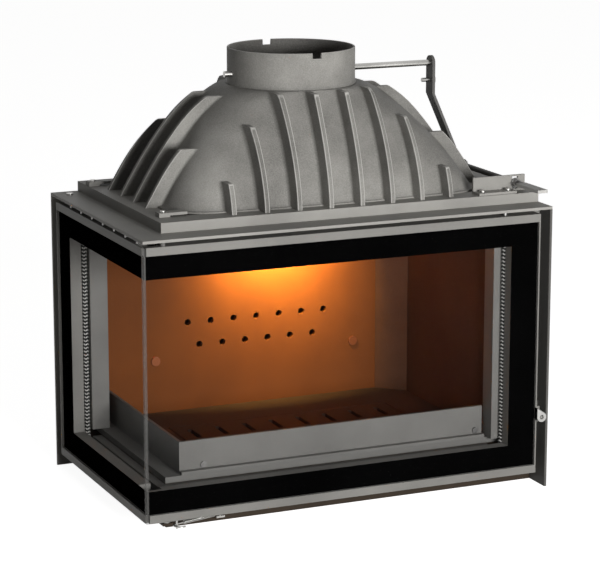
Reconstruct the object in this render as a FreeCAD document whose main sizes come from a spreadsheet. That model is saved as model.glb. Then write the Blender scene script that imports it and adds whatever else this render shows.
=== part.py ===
import FreeCAD, Part
import Sketcher
import math
import os
import re

# Corner fireplace insert: a steel casing glazed at the front and on the left, a cast smoke dome on top.
# Millimetres. The origin is on the floor under the flue axis, X to the right, Y to the back, Z up.

doc = FreeCAD.newDocument("corner_fireplace_insert")

# Driving sizes. Places along X count from the left face, along Y from the front face, along Z from the floor.
# Three counts differ: rope_high is down from the door's top, liner_top down from the top plate, and
# arm_bend_up, arm_step_up, arm_pin_up and arm_screw_up are over the seat of the dome.
SIZES = {
    "overall_width": 698, "overall_depth": 440, "flue_x": 353, "flue_y": 257,
    "panel": 4, "door_sill": 26, "door_height": 431, "door_gap": 6, "top_sheet": 4.5,
    "seat_inset": 47, "seat_height": 16, "cut_over": 1,
    "base_inset": 50, "base_height": 71, "base_wall": 4, "hearth": 10,
    "door_side_gap": 17, "door_clear": 1.1, "door_depth": 12, "flange_depth": 24, "flange_start": 30,
    "border": 50, "rail": 13, "stile": 2.5, "glass": 4, "glass_clear": 0.2,
    "side_thick": 4.4, "corner_trim": 7, "side_flange_start": 46, "side_back_gap": 23,
    "hinge_x": 34, "hinge_y": 6, "hinge_radius": 4, "hinge_depth": 11, "fit": 0.08,
    "hinge_arm_half": 8, "hinge_arm_sheet": 4, "hinge_washer": 7, "washer_sheet": 1.3, "washer_clear": 0.3,
    "hinge_arm_toe": 12,
    "rope_radius": 5, "rope_clear": 0.3, "rope_bulge": 4, "rope_low": 62, "rope_high": 27, "rope_start": 66,
    "rope_bend": 20,
    "sill_sheet": 3, "sill_drop": 18, "sill_clear": 1, "swing_clear": 6,
    "guard_inset_x": 77, "guard_inset_y": 60, "guard_sheet": 5, "guard_height": 51,
    "guard_gap": 4, "guard_back_gap": 10,
    "guard_screw_left": 40, "guard_screw_right": 13, "guard_screw_up": 11,
    "screw_head": 5, "screw_head_rise": 3, "screw_shank": 2.5,
    "liner": 10, "liner_behind": 31, "liner_left": 70, "liner_beside": 74,
    "liner_bevel": 42, "liner_top": 43,
    "air_hole": 5.5, "air_pitch": 42, "air_first": 226, "air_high": 233, "air_low": 193,
    "liner_screw_left": 97, "liner_screw_right": 44, "liner_screw_up": 171, "liner_screw_head": 8,
    "liner_screw_shank": 4, "baffle": 8, "baffle_front": 150, "baffle_left": 66,
    "post_width": 82, "post_depth": 30, "post_length": 86, "post_wall": 3,
    "grate_left": 152, "grate_width": 400, "grate_front": 213, "grate_depth": 96, "grate_clear": 2,
    "grate_lip": 8, "grate_slot": 9, "grate_bar": 39.7, "grate_rim": 22,
    "ash_height": 50, "ash_clear": 14, "ash_wall": 2,
    "wash_sheet": 2, "wash_drop": 51, "wash_gap": 5,
    "rivet_radius": 2, "rivet_pitch": 52, "rivet_first": 31, "rivet_proud": 4.5, "rivet_in": 3.2,
    "dome_left": 44, "dome_right": 73, "dome_front": 32, "dome_back": 17, "dome_corner": 65, "seat_way": 12,
    "end_curve": 0.65, "front_curve": 1.6, "corner_curve": 4, "bow_foot": 6, "bow_crown": 1.25, "dome_edge": 3,
    "dome_height": 172, "dome_wall": 7, "crown": 112, "dome_flange": 5, "dome_flange_rise": 2.5,
    "fin_depth": 25, "rib_depth": 27, "rib_lean": 6, "rib_back": 5, "fin_sheet": 8,
    "rib_left": 82.3, "rib_right": 77.2, "rib_low": 46, "rib_middle": 125, "rib_high": 171,
    "fin_before": 91, "fin_behind": 80.5, "fin_front": 89, "fin_rear": 111, "fin_high": 161,
    "collar_radius": 104, "socket_radius": 100, "socket_depth": 30, "collar_height": 58, "throat_radius": 97,
    "collar_flange": 105.5, "collar_flange_rise": 3, "notch_width": 15, "notch_depth": 9,
    "shaft_radius": 5, "shaft_up": 18, "shaft_left": 236, "flap_radius": 94.5, "flap_sheet": 4, "flap_hub": 9,
    "flap_bolt": 2.5, "flap_bolt_reach": 50, "flap_bolt_head": 4.5, "flap_bolt_head_rise": 3,
    "arm_in": 94, "arm_sheet": 5, "arm_half": 12, "arm_bend_up": 138.5, "arm_step": 48, "arm_step_up": 31.5,
    "arm_pin_up": 13.5, "arm_pin": 4, "arm_pin_head": 6.5, "arm_pin_head_rise": 3,
    "arm_screw_up": 161.5, "arm_screw": 3.5, "arm_screw_tail": 14,
    "arm_screw_head": 6.5, "arm_screw_head_rise": 4,
    "rod_gap": 6, "rod_radius": 4.5, "rod_eye": 9, "rod_eye_sheet": 10, "rod_front": 52,
    "handle_front": -20, "handle_half": 9, "handle_sheet": 5,
    "bracket_y": 72, "bracket_length": 94, "bracket_end": 18, "bracket_sheet": 4, "bracket_rise": 26,
    "bracket_foot": 22, "guide_half": 10, "guide_clear": 0.7, "collar_washer": 8, "collar_washer_sheet": 2,
    "collar_nut": 6.5, "collar_nut_rise": 8,
    "clamp_length": 46, "clamp_width": 18, "clamp_sheet": 4.5, "clamp_head": 4.5, "clamp_head_rise": 2.5,
    "clamp_front_x": 12, "clamp_front_y": 16, "clamp_rear_x": 1, "clamp_rear_y": 31,
    "latch_out": 4, "latch_up": 122, "latch_radius": 3, "ear_width": 11, "ear_front": 10, "ear_sheet": 8,
    "ear_half": 13, "nub_radius": 8.5, "nub_tip": 15, "nub_tip_half": 3.5, "nub_depth": 10, "nub_gap": 1,
    "nub_socket": 3.5, "nub_socket_depth": 8, "tongue_half": 4, "tongue_reach": 11, "tongue_front": 31,
    "tongue_sheet": 3, "keeper_reach": 7.5, "keeper_front": 26, "keeper_sheet": 4, "keeper_half": 18,
    "spring_pin_x": 53, "spring_pin_y": 10, "spring_pin": 1.5, "spring_pin_drop": 16, "spring_up": 14,
    "anchor_x": 136, "anchor_y": 42, "anchor_pin": 2, "anchor_lug_half": 7, "anchor_lug_sheet": 3,
    "coil_radius": 2.4, "wire": 0.6, "coil_pitch": 2.3, "coil_turns": 26, "coil_start": 9,
    "plug_radius": 1.7, "plug_length": 12, "eye_ring": 4.5, "eye_thick": 3, "hook_radius": 1.5,
    "hook_bow": 9.5, "hook_inside": 34, "stop_pin_in": 60, "stop_pin_y": 10, "stop_pin": 4,
    "plate_screw_x": 23, "plate_screw_y": 30, "plate_screw": 5.5, "plate_screw_rise": 2.5,
}
dims = doc.addObject("Spreadsheet::Sheet", "dims")
for row, (word, number) in enumerate(SIZES.items(), start=1):
    dims.set(f"A{row}", word)
    dims.set(f"B{row}", str(number))
    dims.setAlias(f"B{row}", word)
doc.recompute()

WORD = re.compile(r"[a-z][a-z_]*")
NODES = []
Vector = FreeCAD.Vector


def size(word):
    """Number held by one cell of the sheet."""
    return float(getattr(dims, word))


def bind(obj, prop, text):
    """Tie a property to an expression whose words are cells of the sheet."""
    obj.setExpression(prop, WORD.sub(lambda m: "dims." + m[0] if m[0] in SIZES else m[0], text))


def from_left(text):
    """Place along X counted from the left face."""
    return f"({text}) - flue_x"


def from_front(text):
    """Place along Y counted from the front face."""
    return f"({text}) - flue_y"


def block(name, x, y, z):
    """Box between two corners: x from the left face, y from the front face, z from the floor."""
    obj = doc.addObject("Part::Box", name)
    for prop, (low, high) in zip(("Length", "Width", "Height"), (x, y, z)):
        bind(obj, prop, f"({high}) - ({low})")
    bind(obj, "Placement.Base.x", from_left(x[0]))
    bind(obj, "Placement.Base.y", from_front(y[0]))
    bind(obj, "Placement.Base.z", z[0])
    return obj


TURN = {
    "x": FreeCAD.Rotation(Vector(0, 1, 0), 90),
    "y": FreeCAD.Rotation(Vector(1, 0, 0), -90),
    "z": FreeCAD.Rotation(),
}


def rod(name, axis, x, y, z, radius, length):
    """Round bar that starts at x, y, z and runs along the axis."""
    obj = doc.addObject("Part::Cylinder", name)
    obj.Placement = FreeCAD.Placement(Vector(), TURN[axis])
    bind(obj, "Radius", radius)
    bind(obj, "Height", length)
    bind(obj, "Placement.Base.x", from_left(x))
    bind(obj, "Placement.Base.y", from_front(y))
    bind(obj, "Placement.Base.z", z)
    return obj


def fuse(name, *pieces):
    """One solid out of pieces that touch or overlap."""
    obj = doc.addObject("Part::MultiFuse", name)
    obj.Shapes = list(pieces)
    obj.Refine = True
    return obj


def cut(name, base, *tools):
    """Base with the tools taken away."""
    obj = doc.addObject("Part::Cut", name)
    obj.Base = base
    obj.Tool = tools[0] if len(tools) == 1 else fuse(name + "_tools", *tools)
    return obj


def group(name, *pieces):
    """Like pieces that stay separate solids."""
    obj = doc.addObject("Part::Compound", name)
    obj.Links = list(pieces)
    return obj


def feature(name, shape):
    """Object whose shape is worked out from the sheet by this macro."""
    obj = doc.addObject("Part::Feature", name)
    obj.Shape = shape
    return obj


def node(label, obj):
    """Register an object as one named piece of the insert."""
    obj.Label = label
    NODES.append(obj)


def origin_plane(body, role):
    """Origin plane of a body, by its role."""
    return next(f for f in body.Origin.OriginFeatures if f.Role == role)


def rectangle(sketch, left, low, wide, high):
    """Closed rectangle in a sketch, tied to the sketch origin by bound distances."""
    first = sketch.GeometryCount
    corners = [Vector(1, 1, 0), Vector(2, 1, 0), Vector(2, 2, 0), Vector(1, 2, 0)]
    for a, b in zip(corners, corners[1:] + corners[:1]):
        sketch.addGeometry(Part.LineSegment(a, b))
    for k in range(4):
        sketch.addConstraint(Sketcher.Constraint("Coincident", first + k, 2, first + (k + 1) % 4, 1))
        sketch.addConstraint(Sketcher.Constraint(("Horizontal", "Vertical")[k % 2], first + k))
    for kind, edge, text in (("DistanceX", first, wide), ("DistanceY", first + 1, high)):
        index = sketch.addConstraint(Sketcher.Constraint(kind, edge, 1, edge, 2, 1.0))
        bind(sketch, f"Constraints[{index}]", text)
    for kind, text in (("DistanceX", left), ("DistanceY", low)):
        if text is None:
            axis = -2 if kind == "DistanceX" else -1
            sketch.addConstraint(Sketcher.Constraint("PointOnObject", first, 1, axis))
        else:
            index = sketch.addConstraint(Sketcher.Constraint(kind, -1, 1, first, 1, 1.0))
            bind(sketch, f"Constraints[{index}]", text)


def circle(sketch, across, up, radius):
    """Circle in a sketch with bound centre and radius."""
    index = sketch.addGeometry(Part.Circle(Vector(5, 5, 0), Vector(0, 0, 1), 1))
    for kind, text in (("DistanceX", across), ("DistanceY", up)):
        number = sketch.addConstraint(Sketcher.Constraint(kind, -1, 1, index, 3, 5.0))
        bind(sketch, f"Constraints[{number}]", text)
    number = sketch.addConstraint(Sketcher.Constraint("Radius", index, 1.0))
    bind(sketch, f"Constraints[{number}]", radius)


def padded_sheet(name, plane, corner, thickness, reverse):
    """Body with one empty sketch on an origin plane and the pad that will thicken it."""
    body = doc.addObject("PartDesign::Body", name)
    for axis, text in zip("xyz", corner):
        bind(body, f"Placement.Base.{axis}", text)
    sketch = body.newObject("Sketcher::SketchObject", name + "_outline")
    sketch.AttachmentSupport = (origin_plane(body, plane), [""])
    sketch.MapMode = "FlatFace"
    pad = body.newObject("PartDesign::Pad", name + "_pad")
    pad.Profile = sketch
    pad.Reversed = reverse
    bind(pad, "Length", thickness)
    return body, sketch


# Levels and lines that several pieces share.
LEFT, RIGHT = "0", "overall_width"
BACK = "overall_depth"
INNER_RIGHT = "overall_width - panel"
INNER_BACK = "overall_depth - panel"
DOOR_TOP = "door_sill + door_height"
PLATE_LOW = f"{DOOR_TOP} + door_gap"
PLATE_TOP = f"{PLATE_LOW} + top_sheet"
SEAT_TOP = f"{PLATE_TOP} + seat_height"
LINER_TOP = f"{PLATE_LOW} - liner_top"
PIN_UP = f"{SEAT_TOP} + arm_pin_up"
CROWN_TOP = f"{SEAT_TOP} + dome_height"
SHAFT_UP = f"{CROWN_TOP} + shaft_up"
RIM_TOP = f"{CROWN_TOP} + collar_height"
HEARTH_TOP = "base_height + hearth"
DOOR_LEFT = "side_thick + door_clear"
DOOR_RIGHT = f"{INNER_RIGHT} - door_side_gap"
SIDE_BACK = f"{INNER_BACK} - side_back_gap"
SEAL_LINE = "flange_depth + 2 * (rope_radius + rope_clear)"
POST_LEFT = f"{INNER_RIGHT} - post_width"
POST_FRONT = f"{INNER_BACK} - post_length"
LINER_FRONT = f"{INNER_BACK} - liner_behind"
LINER_RIGHT = f"{INNER_RIGHT} - liner_beside"
LINER_CORNER = f"{LINER_RIGHT} - liner_bevel"
LINER_SCREWS = ("liner_left + liner_screw_left", f"{LINER_CORNER} - liner_screw_right")
LATCH_X = f"{DOOR_RIGHT} + latch_out"
DOME_X = ("seat_inset + dome_left", f"{RIGHT} - dome_right")
DOME_Y = ("seat_inset + dome_front", f"{BACK} - dome_back")
door_top = size("door_sill") + size("door_height")
plate_low = door_top + size("door_gap")
seat_top = plate_low + size("top_sheet") + size("seat_height")
crown_top = seat_top + size("dome_height")
shaft_up = crown_top + size("shaft_up")

# Base tray of folded sheet under the firebox, set back from both glazed sides.
tray_outer = block("tray_outer", ("base_inset", INNER_RIGHT), ("base_inset", INNER_BACK),
                   ("0", "base_height"))
tray_inner = block("tray_inner", ("base_inset + base_wall", f"{INNER_RIGHT} - base_wall"),
                   ("base_inset + base_wall", f"{INNER_BACK} - base_wall"),
                   ("base_wall", "base_height + cut_over"))
node("base_tray", cut("base_tray", tray_outer, tray_inner))

# Back and right panels of sheet steel, from the floor to the top plate.
node("back_panel", cut("back_panel",
    block("back_sheet", (LEFT, RIGHT), (INNER_BACK, BACK), ("0", PLATE_LOW)),
    *[rod(f"back_screw_hole_{k}", "y", x, f"{INNER_BACK} - cut_over", "liner_screw_up", "liner_screw_shank",
          "panel + 2 * cut_over") for k, x in enumerate(LINER_SCREWS)]))
node("right_side_panel", block("right_side_panel", (INNER_RIGHT, RIGHT), ("0", INNER_BACK), ("0", PLATE_LOW)))

# Top plate with the way up to the dome, and the raised ring that the dome is seated on.
seat_x = (f"{DOME_X[0]} + seat_way", f"{DOME_X[1]} - seat_way")
seat_y = (f"{DOME_Y[0]} + seat_way", f"{DOME_Y[1]} - seat_way")
node("top_plate", cut("top_plate",
    block("top_sheet_blank", (LEFT, RIGHT), ("0", BACK), (PLATE_LOW, PLATE_TOP)),
    block("top_way", seat_x, seat_y, (f"{PLATE_LOW} - cut_over", f"{PLATE_TOP} + cut_over"))))
node("dome_seat_frame", cut("dome_seat_frame",
    block("seat_blank", ("seat_inset", RIGHT), ("seat_inset", BACK), (PLATE_TOP, SEAT_TOP)),
    block("seat_way", seat_x, seat_y, (f"{PLATE_TOP} - cut_over", f"{SEAT_TOP} + cut_over"))))
node("top_plate_screw", rod("top_plate_screw", "z", "plate_screw_x", f"{BACK} - plate_screw_y", PLATE_TOP,
                            "plate_screw", "plate_screw_rise"))

# Hearth plate on the tray, with the well that the grate drops into.
hearth_blank = block("hearth_blank", ("base_inset", INNER_RIGHT), ("base_inset", INNER_BACK),
                     ("base_height", HEARTH_TOP))
grate_x = ("grate_left", "grate_left + grate_width")
grate_y = ("grate_front", "grate_front + grate_depth")
hearth_well = block("hearth_well", grate_x, grate_y, ("base_height + hearth / 2", f"{HEARTH_TOP} + cut_over"))
hearth_drop = block("hearth_drop", ("grate_left + grate_lip", f"{grate_x[1]} - grate_lip"),
                    ("grate_front + grate_lip", f"{grate_y[1]} - grate_lip"),
                    ("base_height - cut_over", HEARTH_TOP))
node("hearth_plate", cut("hearth_plate", hearth_blank, hearth_well, hearth_drop))

# Cast grate: a plate with a row of short slots, lying on the ledge of the hearth well.
grate, outline = padded_sheet("fire_grate", "XY_Plane",
    (from_left("grate_left + grate_clear"), from_front("grate_front + grate_clear"),
     "base_height + hearth / 2"), "hearth / 2", False)
rectangle(outline, None, None, "grate_width - 2 * grate_clear", "grate_depth - 2 * grate_clear")
slot_count = int((size("grate_width") - 2 * size("grate_clear") - 2 * size("grate_rim") + size("grate_bar"))
                 // (size("grate_slot") + size("grate_bar")))
for k in range(slot_count):
    rectangle(outline, f"grate_rim + {k} * (grate_slot + grate_bar)", "grate_rim",
              "grate_slot", "grate_depth - 2 * grate_clear - 2 * grate_rim")
node("fire_grate", grate)

# Ash pan of thin sheet standing in the tray under the grate.
ash_x = ("grate_left - ash_clear", f"{grate_x[1]} + ash_clear")
ash_y = ("grate_front - ash_clear", f"{grate_y[1]} + ash_clear")
ash_outer = block("ash_outer", ash_x, ash_y, ("base_wall", "base_wall + ash_height"))
ash_inner = block("ash_inner", (f"{ash_x[0]} + ash_wall", f"{ash_x[1]} - ash_wall"),
                  (f"{ash_y[0]} + ash_wall", f"{ash_y[1]} - ash_wall"),
                  ("base_wall + ash_wall", "base_wall + ash_height + cut_over"))
node("ash_pan", cut("ash_pan", ash_outer, ash_inner))

# Bent sill lip round the two glazed sides of the tray, which the lower rope presses on.
SILL_TOP = "base_height - sill_clear"
sill_front = block("sill_front", (SEAL_LINE, POST_LEFT), (SEAL_LINE, "base_inset"),
                   (f"{SILL_TOP} - sill_sheet", SILL_TOP))
sill_left = block("sill_left", (SEAL_LINE, "base_inset"), (SEAL_LINE, POST_FRONT),
                  (f"{SILL_TOP} - sill_sheet", SILL_TOP))
drop_line = (SEAL_LINE, f"{SEAL_LINE} + sill_sheet")
drop_z = (f"{SILL_TOP} - sill_drop", SILL_TOP)
sill_front_drop = block("sill_front_drop", ("base_inset", POST_LEFT), drop_line, drop_z)
sill_left_drop = block("sill_left_drop", drop_line, ("base_inset", POST_FRONT), drop_z)
SWING_EDGE = f"{SEAL_LINE} + swing_clear"
sill_corner = block("sill_corner", (SEAL_LINE, SWING_EDGE), (SEAL_LINE, SWING_EDGE), ("0", PLATE_LOW))
sill_bends = fuse("sill_bends", sill_front, sill_left, sill_front_drop, sill_left_drop)
node("front_sill", cut("front_sill", sill_bends, sill_corner))

# Posts of folded sheet at the two ends of the glazing.
def post(name, x, y):
    """Hollow upright between the hearth and the top plate."""
    outer = block(name + "_outer", x, y, (HEARTH_TOP, PLATE_LOW))
    inner = block(name + "_inner", (f"{x[0]} + post_wall", f"{x[1]} - post_wall"),
                  (f"{y[0]} + post_wall", f"{y[1]} - post_wall"),
                  (f"{HEARTH_TOP} - cut_over", f"{PLATE_LOW} + cut_over"))
    node(name, cut(name, outer, inner))


POST_RIGHT_BACK = f"{SEAL_LINE} + post_depth"
post("right_front_post", (POST_LEFT, INNER_RIGHT), (SEAL_LINE, POST_RIGHT_BACK))
post("left_rear_post", (SEAL_LINE, f"{SEAL_LINE} + post_depth"), (POST_FRONT, INNER_BACK))

# Firebox lining: drilled back plate, slanted corner strip and right plate, with the baffle lying on top.
back_liner, outline = padded_sheet("back_liner", "XZ_Plane",
    (from_left("liner_left"), from_front(LINER_FRONT), HEARTH_TOP), "liner", True)
rectangle(outline, None, None, f"{LINER_CORNER} - liner_left", f"{LINER_TOP} - ({HEARTH_TOP})")
for row_up, count, offset in (("air_high", 7, "0"), ("air_low", 6, "air_pitch / 2")):
    for k in range(count):
        circle(outline, f"air_first - liner_left + {offset} + {k} * air_pitch", f"{row_up} - ({HEARTH_TOP})",
               "air_hole")
for x in LINER_SCREWS:
    circle(outline, f"{x} - liner_left", f"liner_screw_up - ({HEARTH_TOP})", "liner_screw_shank + fit")
node("back_liner", back_liner)
node("right_liner", block("right_liner", (LINER_RIGHT, f"{LINER_RIGHT} + liner"),
                          (POST_RIGHT_BACK, f"{LINER_FRONT} - liner_bevel"), (HEARTH_TOP, LINER_TOP)))
run = size("liner_bevel")
foot = Vector(size("overall_width") - size("panel") - size("liner_beside") - run - size("flue_x"),
              size("overall_depth") - size("panel") - size("liner_behind") - size("flue_y"),
              size("base_height") + size("hearth"))
step = size("liner")
strip_points = [foot + Vector(*corner) for corner in
                ((0, 0, 0), (run, -run, 0), (run + step, -run, 0), (step, 0, 0))]
strip_face = Part.Face(Part.makePolygon(strip_points + strip_points[:1]))
strip_rise = plate_low - size("liner_top") - foot.z
node("corner_liner", feature("corner_liner", strip_face.extrude(Vector(0, 0, strip_rise))))
node("baffle_plate", block("baffle_plate", ("baffle_left", f"{LINER_RIGHT} + liner"),
                           ("baffle_front", f"{LINER_FRONT} + liner"), (LINER_TOP, f"{LINER_TOP} + baffle")))


def headed_screw(name, axis, x, y, z, head, head_rise, shank, shank_length):
    """Screw with a plain round head; the shank starts where the head ends."""
    start = {"x": x, "y": y, "z": z}
    seat = dict(start)
    seat[axis] = f"{start[axis]} + {head_rise}"
    return fuse(name, rod(name + "_head", axis, x, y, z, head, head_rise),
                rod(name + "_shank", axis, seat["x"], seat["y"], seat["z"], shank, shank_length))


node("back_liner_screws", group("back_liner_screws", *[
    headed_screw(f"liner_screw_{k}", "y", x, f"{LINER_FRONT} - screw_head_rise", "liner_screw_up",
                 "liner_screw_head", "screw_head_rise", "liner_screw_shank - fit", "liner_behind + panel")
    for k, x in enumerate(LINER_SCREWS)]))

# Log guard: an angle of sheet steel standing on the hearth along both glazed sides, with two screws.
GUARD_RIGHT = f"{POST_LEFT} - guard_gap"
guard_z = (HEARTH_TOP, f"{HEARTH_TOP} + guard_height")
guard_front = block("guard_front", ("guard_inset_x", GUARD_RIGHT),
                    ("guard_inset_y", "guard_inset_y + guard_sheet"), guard_z)
guard_left = block("guard_left", ("guard_inset_x", "guard_inset_x + guard_sheet"),
                   ("guard_inset_y", f"{LINER_FRONT} - guard_back_gap"), guard_z)
guard_ledge = block("guard_ledge", ("guard_inset_x", GUARD_RIGHT),
                    ("guard_inset_y - 2 * guard_sheet", "guard_inset_y"),
                    (HEARTH_TOP, f"{HEARTH_TOP} + guard_sheet"))
guard_screw_x = ("guard_inset_x + guard_screw_left", f"{GUARD_RIGHT} - guard_screw_right")
GUARD_SCREW_UP = f"{HEARTH_TOP} + guard_screw_up"
guard_bores = [rod(f"guard_bore_{k}", "y", x, "guard_inset_y - cut_over", GUARD_SCREW_UP, "screw_shank",
                   "guard_sheet + 2 * cut_over") for k, x in enumerate(guard_screw_x)]
node("log_guard", cut("log_guard", fuse("guard_angle", guard_front, guard_left, guard_ledge), *guard_bores))
node("log_guard_screws", group("log_guard_screws", *[
    headed_screw(f"guard_screw_{k}", "y", x, "guard_inset_y - screw_head_rise", GUARD_SCREW_UP, "screw_head",
                 "screw_head_rise", "screw_shank - fit", "guard_sheet + screw_head_rise")
    for k, x in enumerate(guard_screw_x)]))

# Air wash strips under the top plate, with the row of rivets that shows in the gap over the left window.
wash_line = (SEAL_LINE, f"{SEAL_LINE} + wash_sheet")
wash_z = (f"{PLATE_LOW} - wash_drop", PLATE_LOW)
node("air_wash_front", block("air_wash_front", ("side_flange_start", POST_LEFT), wash_line, wash_z))
node("air_wash_side", block("air_wash_side", wash_line, ("side_flange_start", f"{POST_FRONT} - wash_gap"),
                            wash_z))
wash_back = size("overall_depth") - size("panel") - size("post_length") - size("wash_gap")
rivet_count = int((wash_back - size("rivet_first")) // size("rivet_pitch"))
node("air_wash_rivets", group("air_wash_rivets", *[
    rod(f"rivet_{k}", "z", "rivet_in", f"rivet_first + {k} * rivet_pitch",
        f"{PLATE_LOW} - rivet_proud", "rivet_radius", "rivet_proud") for k in range(rivet_count + 1)]))

# Left window: a steel frame open towards the corner, the pane, the corner trim and two spacers to the post.
SIDE_FLANGE = "flange_depth"
side_rails = block("side_rails", (LEFT, "side_thick"), ("corner_trim", SIDE_BACK), ("door_sill", DOOR_TOP))
side_flange = block("side_flange", ("side_thick", SIDE_FLANGE), ("side_flange_start", SIDE_BACK),
                    ("door_sill", DOOR_TOP))
side_pane_space = block("side_pane_space", ("-cut_over", "side_thick"), ("0", f"{SIDE_BACK} - stile"),
                        ("door_sill + rail", f"{DOOR_TOP} - rail"))
side_view = block("side_view", ("-cut_over", f"{SIDE_FLANGE} + cut_over"),
                  ("0", f"{SIDE_BACK} - border - stile"), ("door_sill + border", f"{DOOR_TOP} - border"))
node("side_window_frame", cut("side_window_frame", fuse("side_frame_blank", side_rails, side_flange),
                              side_pane_space, side_view))
node("corner_trim", block("corner_trim", (LEFT, "side_thick"), ("0", "corner_trim"), ("door_sill", DOOR_TOP)))
node("side_glass", block("side_glass", ("glass_clear", "glass_clear + glass"),
                         ("corner_trim", f"{SIDE_BACK} - stile - glass_clear"),
                         ("door_sill + rail + glass_clear", f"{DOOR_TOP} - rail - glass_clear")))
node("side_window_spacers", group("side_window_spacers", *[
    block(f"side_spacer_{k}", (SIDE_FLANGE, SEAL_LINE), (f"{SIDE_BACK} - rail", SIDE_BACK),
          (z, f"{z} + rail"))
    for k, z in enumerate((f"{HEARTH_TOP} + border", f"{DOOR_TOP} - 2 * border"))]))


# Braided rope seals: round cord bent round the glazing, between each window flange and its seat.
def rope(name, points):
    """Round cord through points, with one bend radius at each corner."""
    bend = size("rope_bend")
    edges = []
    start = points[0]
    for before, corner, after in zip(points, points[1:], points[2:]):
        back = (before - corner).normalize()
        ahead = (after - corner).normalize()
        enter = corner + back * bend
        leave = corner + ahead * bend
        middle = corner + (back + ahead) * (bend * (1 - math.sqrt(0.5)))
        edges.append(Part.LineSegment(start, enter).toShape())
        edges.append(Part.Arc(enter, middle, leave).toShape())
        start = leave
    edges.append(Part.LineSegment(start, points[-1]).toShape())
    tangent = (points[1] - points[0]).normalize()
    ring = Part.Wire(Part.makeCircle(size("rope_radius"), points[0], tangent))
    return feature(name, Part.Wire(edges).makePipeShell([ring], True, False))


seal = size("flange_depth") + size("rope_radius") + size("rope_clear")
rope_right = (size("overall_width") - size("panel") - size("door_side_gap") - size("border")
              + size("rope_radius") - size("rope_bulge"))
rope_rear = (size("overall_depth") - size("panel") - size("side_back_gap") - size("border")
             - size("stile") + size("rope_radius") - size("rope_bulge"))
rope_foot = size("rope_low")
rope_head = door_top - size("rope_high")
door_rope = [(size("rope_start"), rope_foot), (rope_right, rope_foot), (rope_right, rope_head),
             (size("rope_start"), rope_head)]
node("door_rope_seal", rope("door_rope_seal", [
    Vector(along - size("flue_x"), seal - size("flue_y"), level) for along, level in door_rope]))
side_rope = [(size("rope_start"), rope_foot), (rope_rear, rope_foot), (rope_rear, rope_head),
             (size("rope_start"), rope_head)]
node("side_rope_seal", rope("side_rope_seal", [
    Vector(seal - size("flue_x"), along - size("flue_y"), level) for along, level in side_rope]))

# Door: steel frame open towards the corner, with a deep flange behind the black border and the latch ear.
rails = block("door_rails", (DOOR_LEFT, DOOR_RIGHT), ("0", "door_depth"), ("door_sill", DOOR_TOP))
flange = block("door_flange", ("flange_start", DOOR_RIGHT), ("door_depth", "flange_depth"),
               ("door_sill", DOOR_TOP))
ear = block("latch_ear", (DOOR_RIGHT, f"{DOOR_RIGHT} + ear_width"), ("ear_front", "ear_front + ear_sheet"),
            ("latch_up - ear_half", "latch_up + ear_half"))
pane_space = block("door_pane_space", ("0", f"{DOOR_RIGHT} - stile"),
                   ("-cut_over", "glass + 2 * glass_clear"), ("door_sill + rail", f"{DOOR_TOP} - rail"))
door_view = block("door_view", ("0", f"{DOOR_RIGHT} - border"), ("-cut_over", "flange_depth + cut_over"),
                  ("door_sill + border", f"{DOOR_TOP} - border"))
bore_depth = "hinge_depth + 2 * cut_over"
bore_low = rod("hinge_bore_low", "z", "hinge_x", "hinge_y", "door_sill - cut_over",
               "hinge_radius + fit", bore_depth)
bore_high = rod("hinge_bore_high", "z", "hinge_x", "hinge_y", f"{DOOR_TOP} - hinge_depth - cut_over",
                "hinge_radius + fit", bore_depth)
latch_bore = rod("latch_bore", "y", LATCH_X, "ear_front - cut_over", "latch_up", "latch_radius + fit",
                 "ear_sheet + 2 * cut_over")
spring_bore = rod("spring_pin_bore", "z", "spring_pin_x", "spring_pin_y", "door_sill - cut_over",
                  "spring_pin", "rail / 2 + cut_over")
node("door_frame", cut("door_frame", fuse("door_blank", rails, flange, ear), pane_space, door_view, bore_low,
                       bore_high, latch_bore, spring_bore))
node("door_glass", block("door_glass", (DOOR_LEFT, f"{DOOR_RIGHT} - stile - glass_clear"),
                         ("glass_clear", "glass_clear + glass"),
                         ("door_sill + rail + glass_clear", f"{DOOR_TOP} - rail - glass_clear")))
node("door_spring_pin", rod("door_spring_pin", "z", "spring_pin_x", "spring_pin_y",
                            "door_sill - spring_pin_drop", "spring_pin", "spring_pin_drop + rail / 2"))

# Hinge: an arm on the tray carries the lower pin, the upper pin hangs from the top plate.
ARM_TOP = "door_sill - washer_sheet - washer_clear"
arm_z = (f"{ARM_TOP} - hinge_arm_sheet", ARM_TOP)
arm_run = block("arm_run", ("hinge_x - hinge_arm_half", "hinge_x + hinge_arm_half"),
                ("hinge_y - hinge_arm_half", "base_inset"), arm_z)
arm_toe = block("arm_toe", ("hinge_x - hinge_arm_half", "base_inset + hinge_arm_toe"),
                ("base_inset - hinge_arm_toe", "base_inset"), arm_z)
arm_bore = rod("arm_bore", "z", "hinge_x", "hinge_y", "0", "hinge_radius", ARM_TOP)
node("lower_hinge_arm", cut("lower_hinge_arm", fuse("hinge_arm", arm_run, arm_toe), arm_bore))
pin_low = rod("hinge_pin_low", "z", "hinge_x", "hinge_y", f"{ARM_TOP} - hinge_arm_sheet", "hinge_radius",
              "hinge_arm_sheet + washer_sheet + washer_clear + hinge_depth")
pin_high = rod("hinge_pin_high", "z", "hinge_x", "hinge_y", f"{DOOR_TOP} - hinge_depth", "hinge_radius",
               "hinge_depth + door_gap")
node("door_hinge_pins", group("door_hinge_pins", pin_low, pin_high))
node("hinge_washer", cut("hinge_washer",
    rod("washer_blank", "z", "hinge_x", "hinge_y", ARM_TOP, "hinge_washer", "washer_sheet"),
    rod("washer_bore", "z", "hinge_x", "hinge_y", f"{ARM_TOP} - cut_over", "hinge_radius + fit",
        "washer_sheet + 2 * cut_over")))
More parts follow.
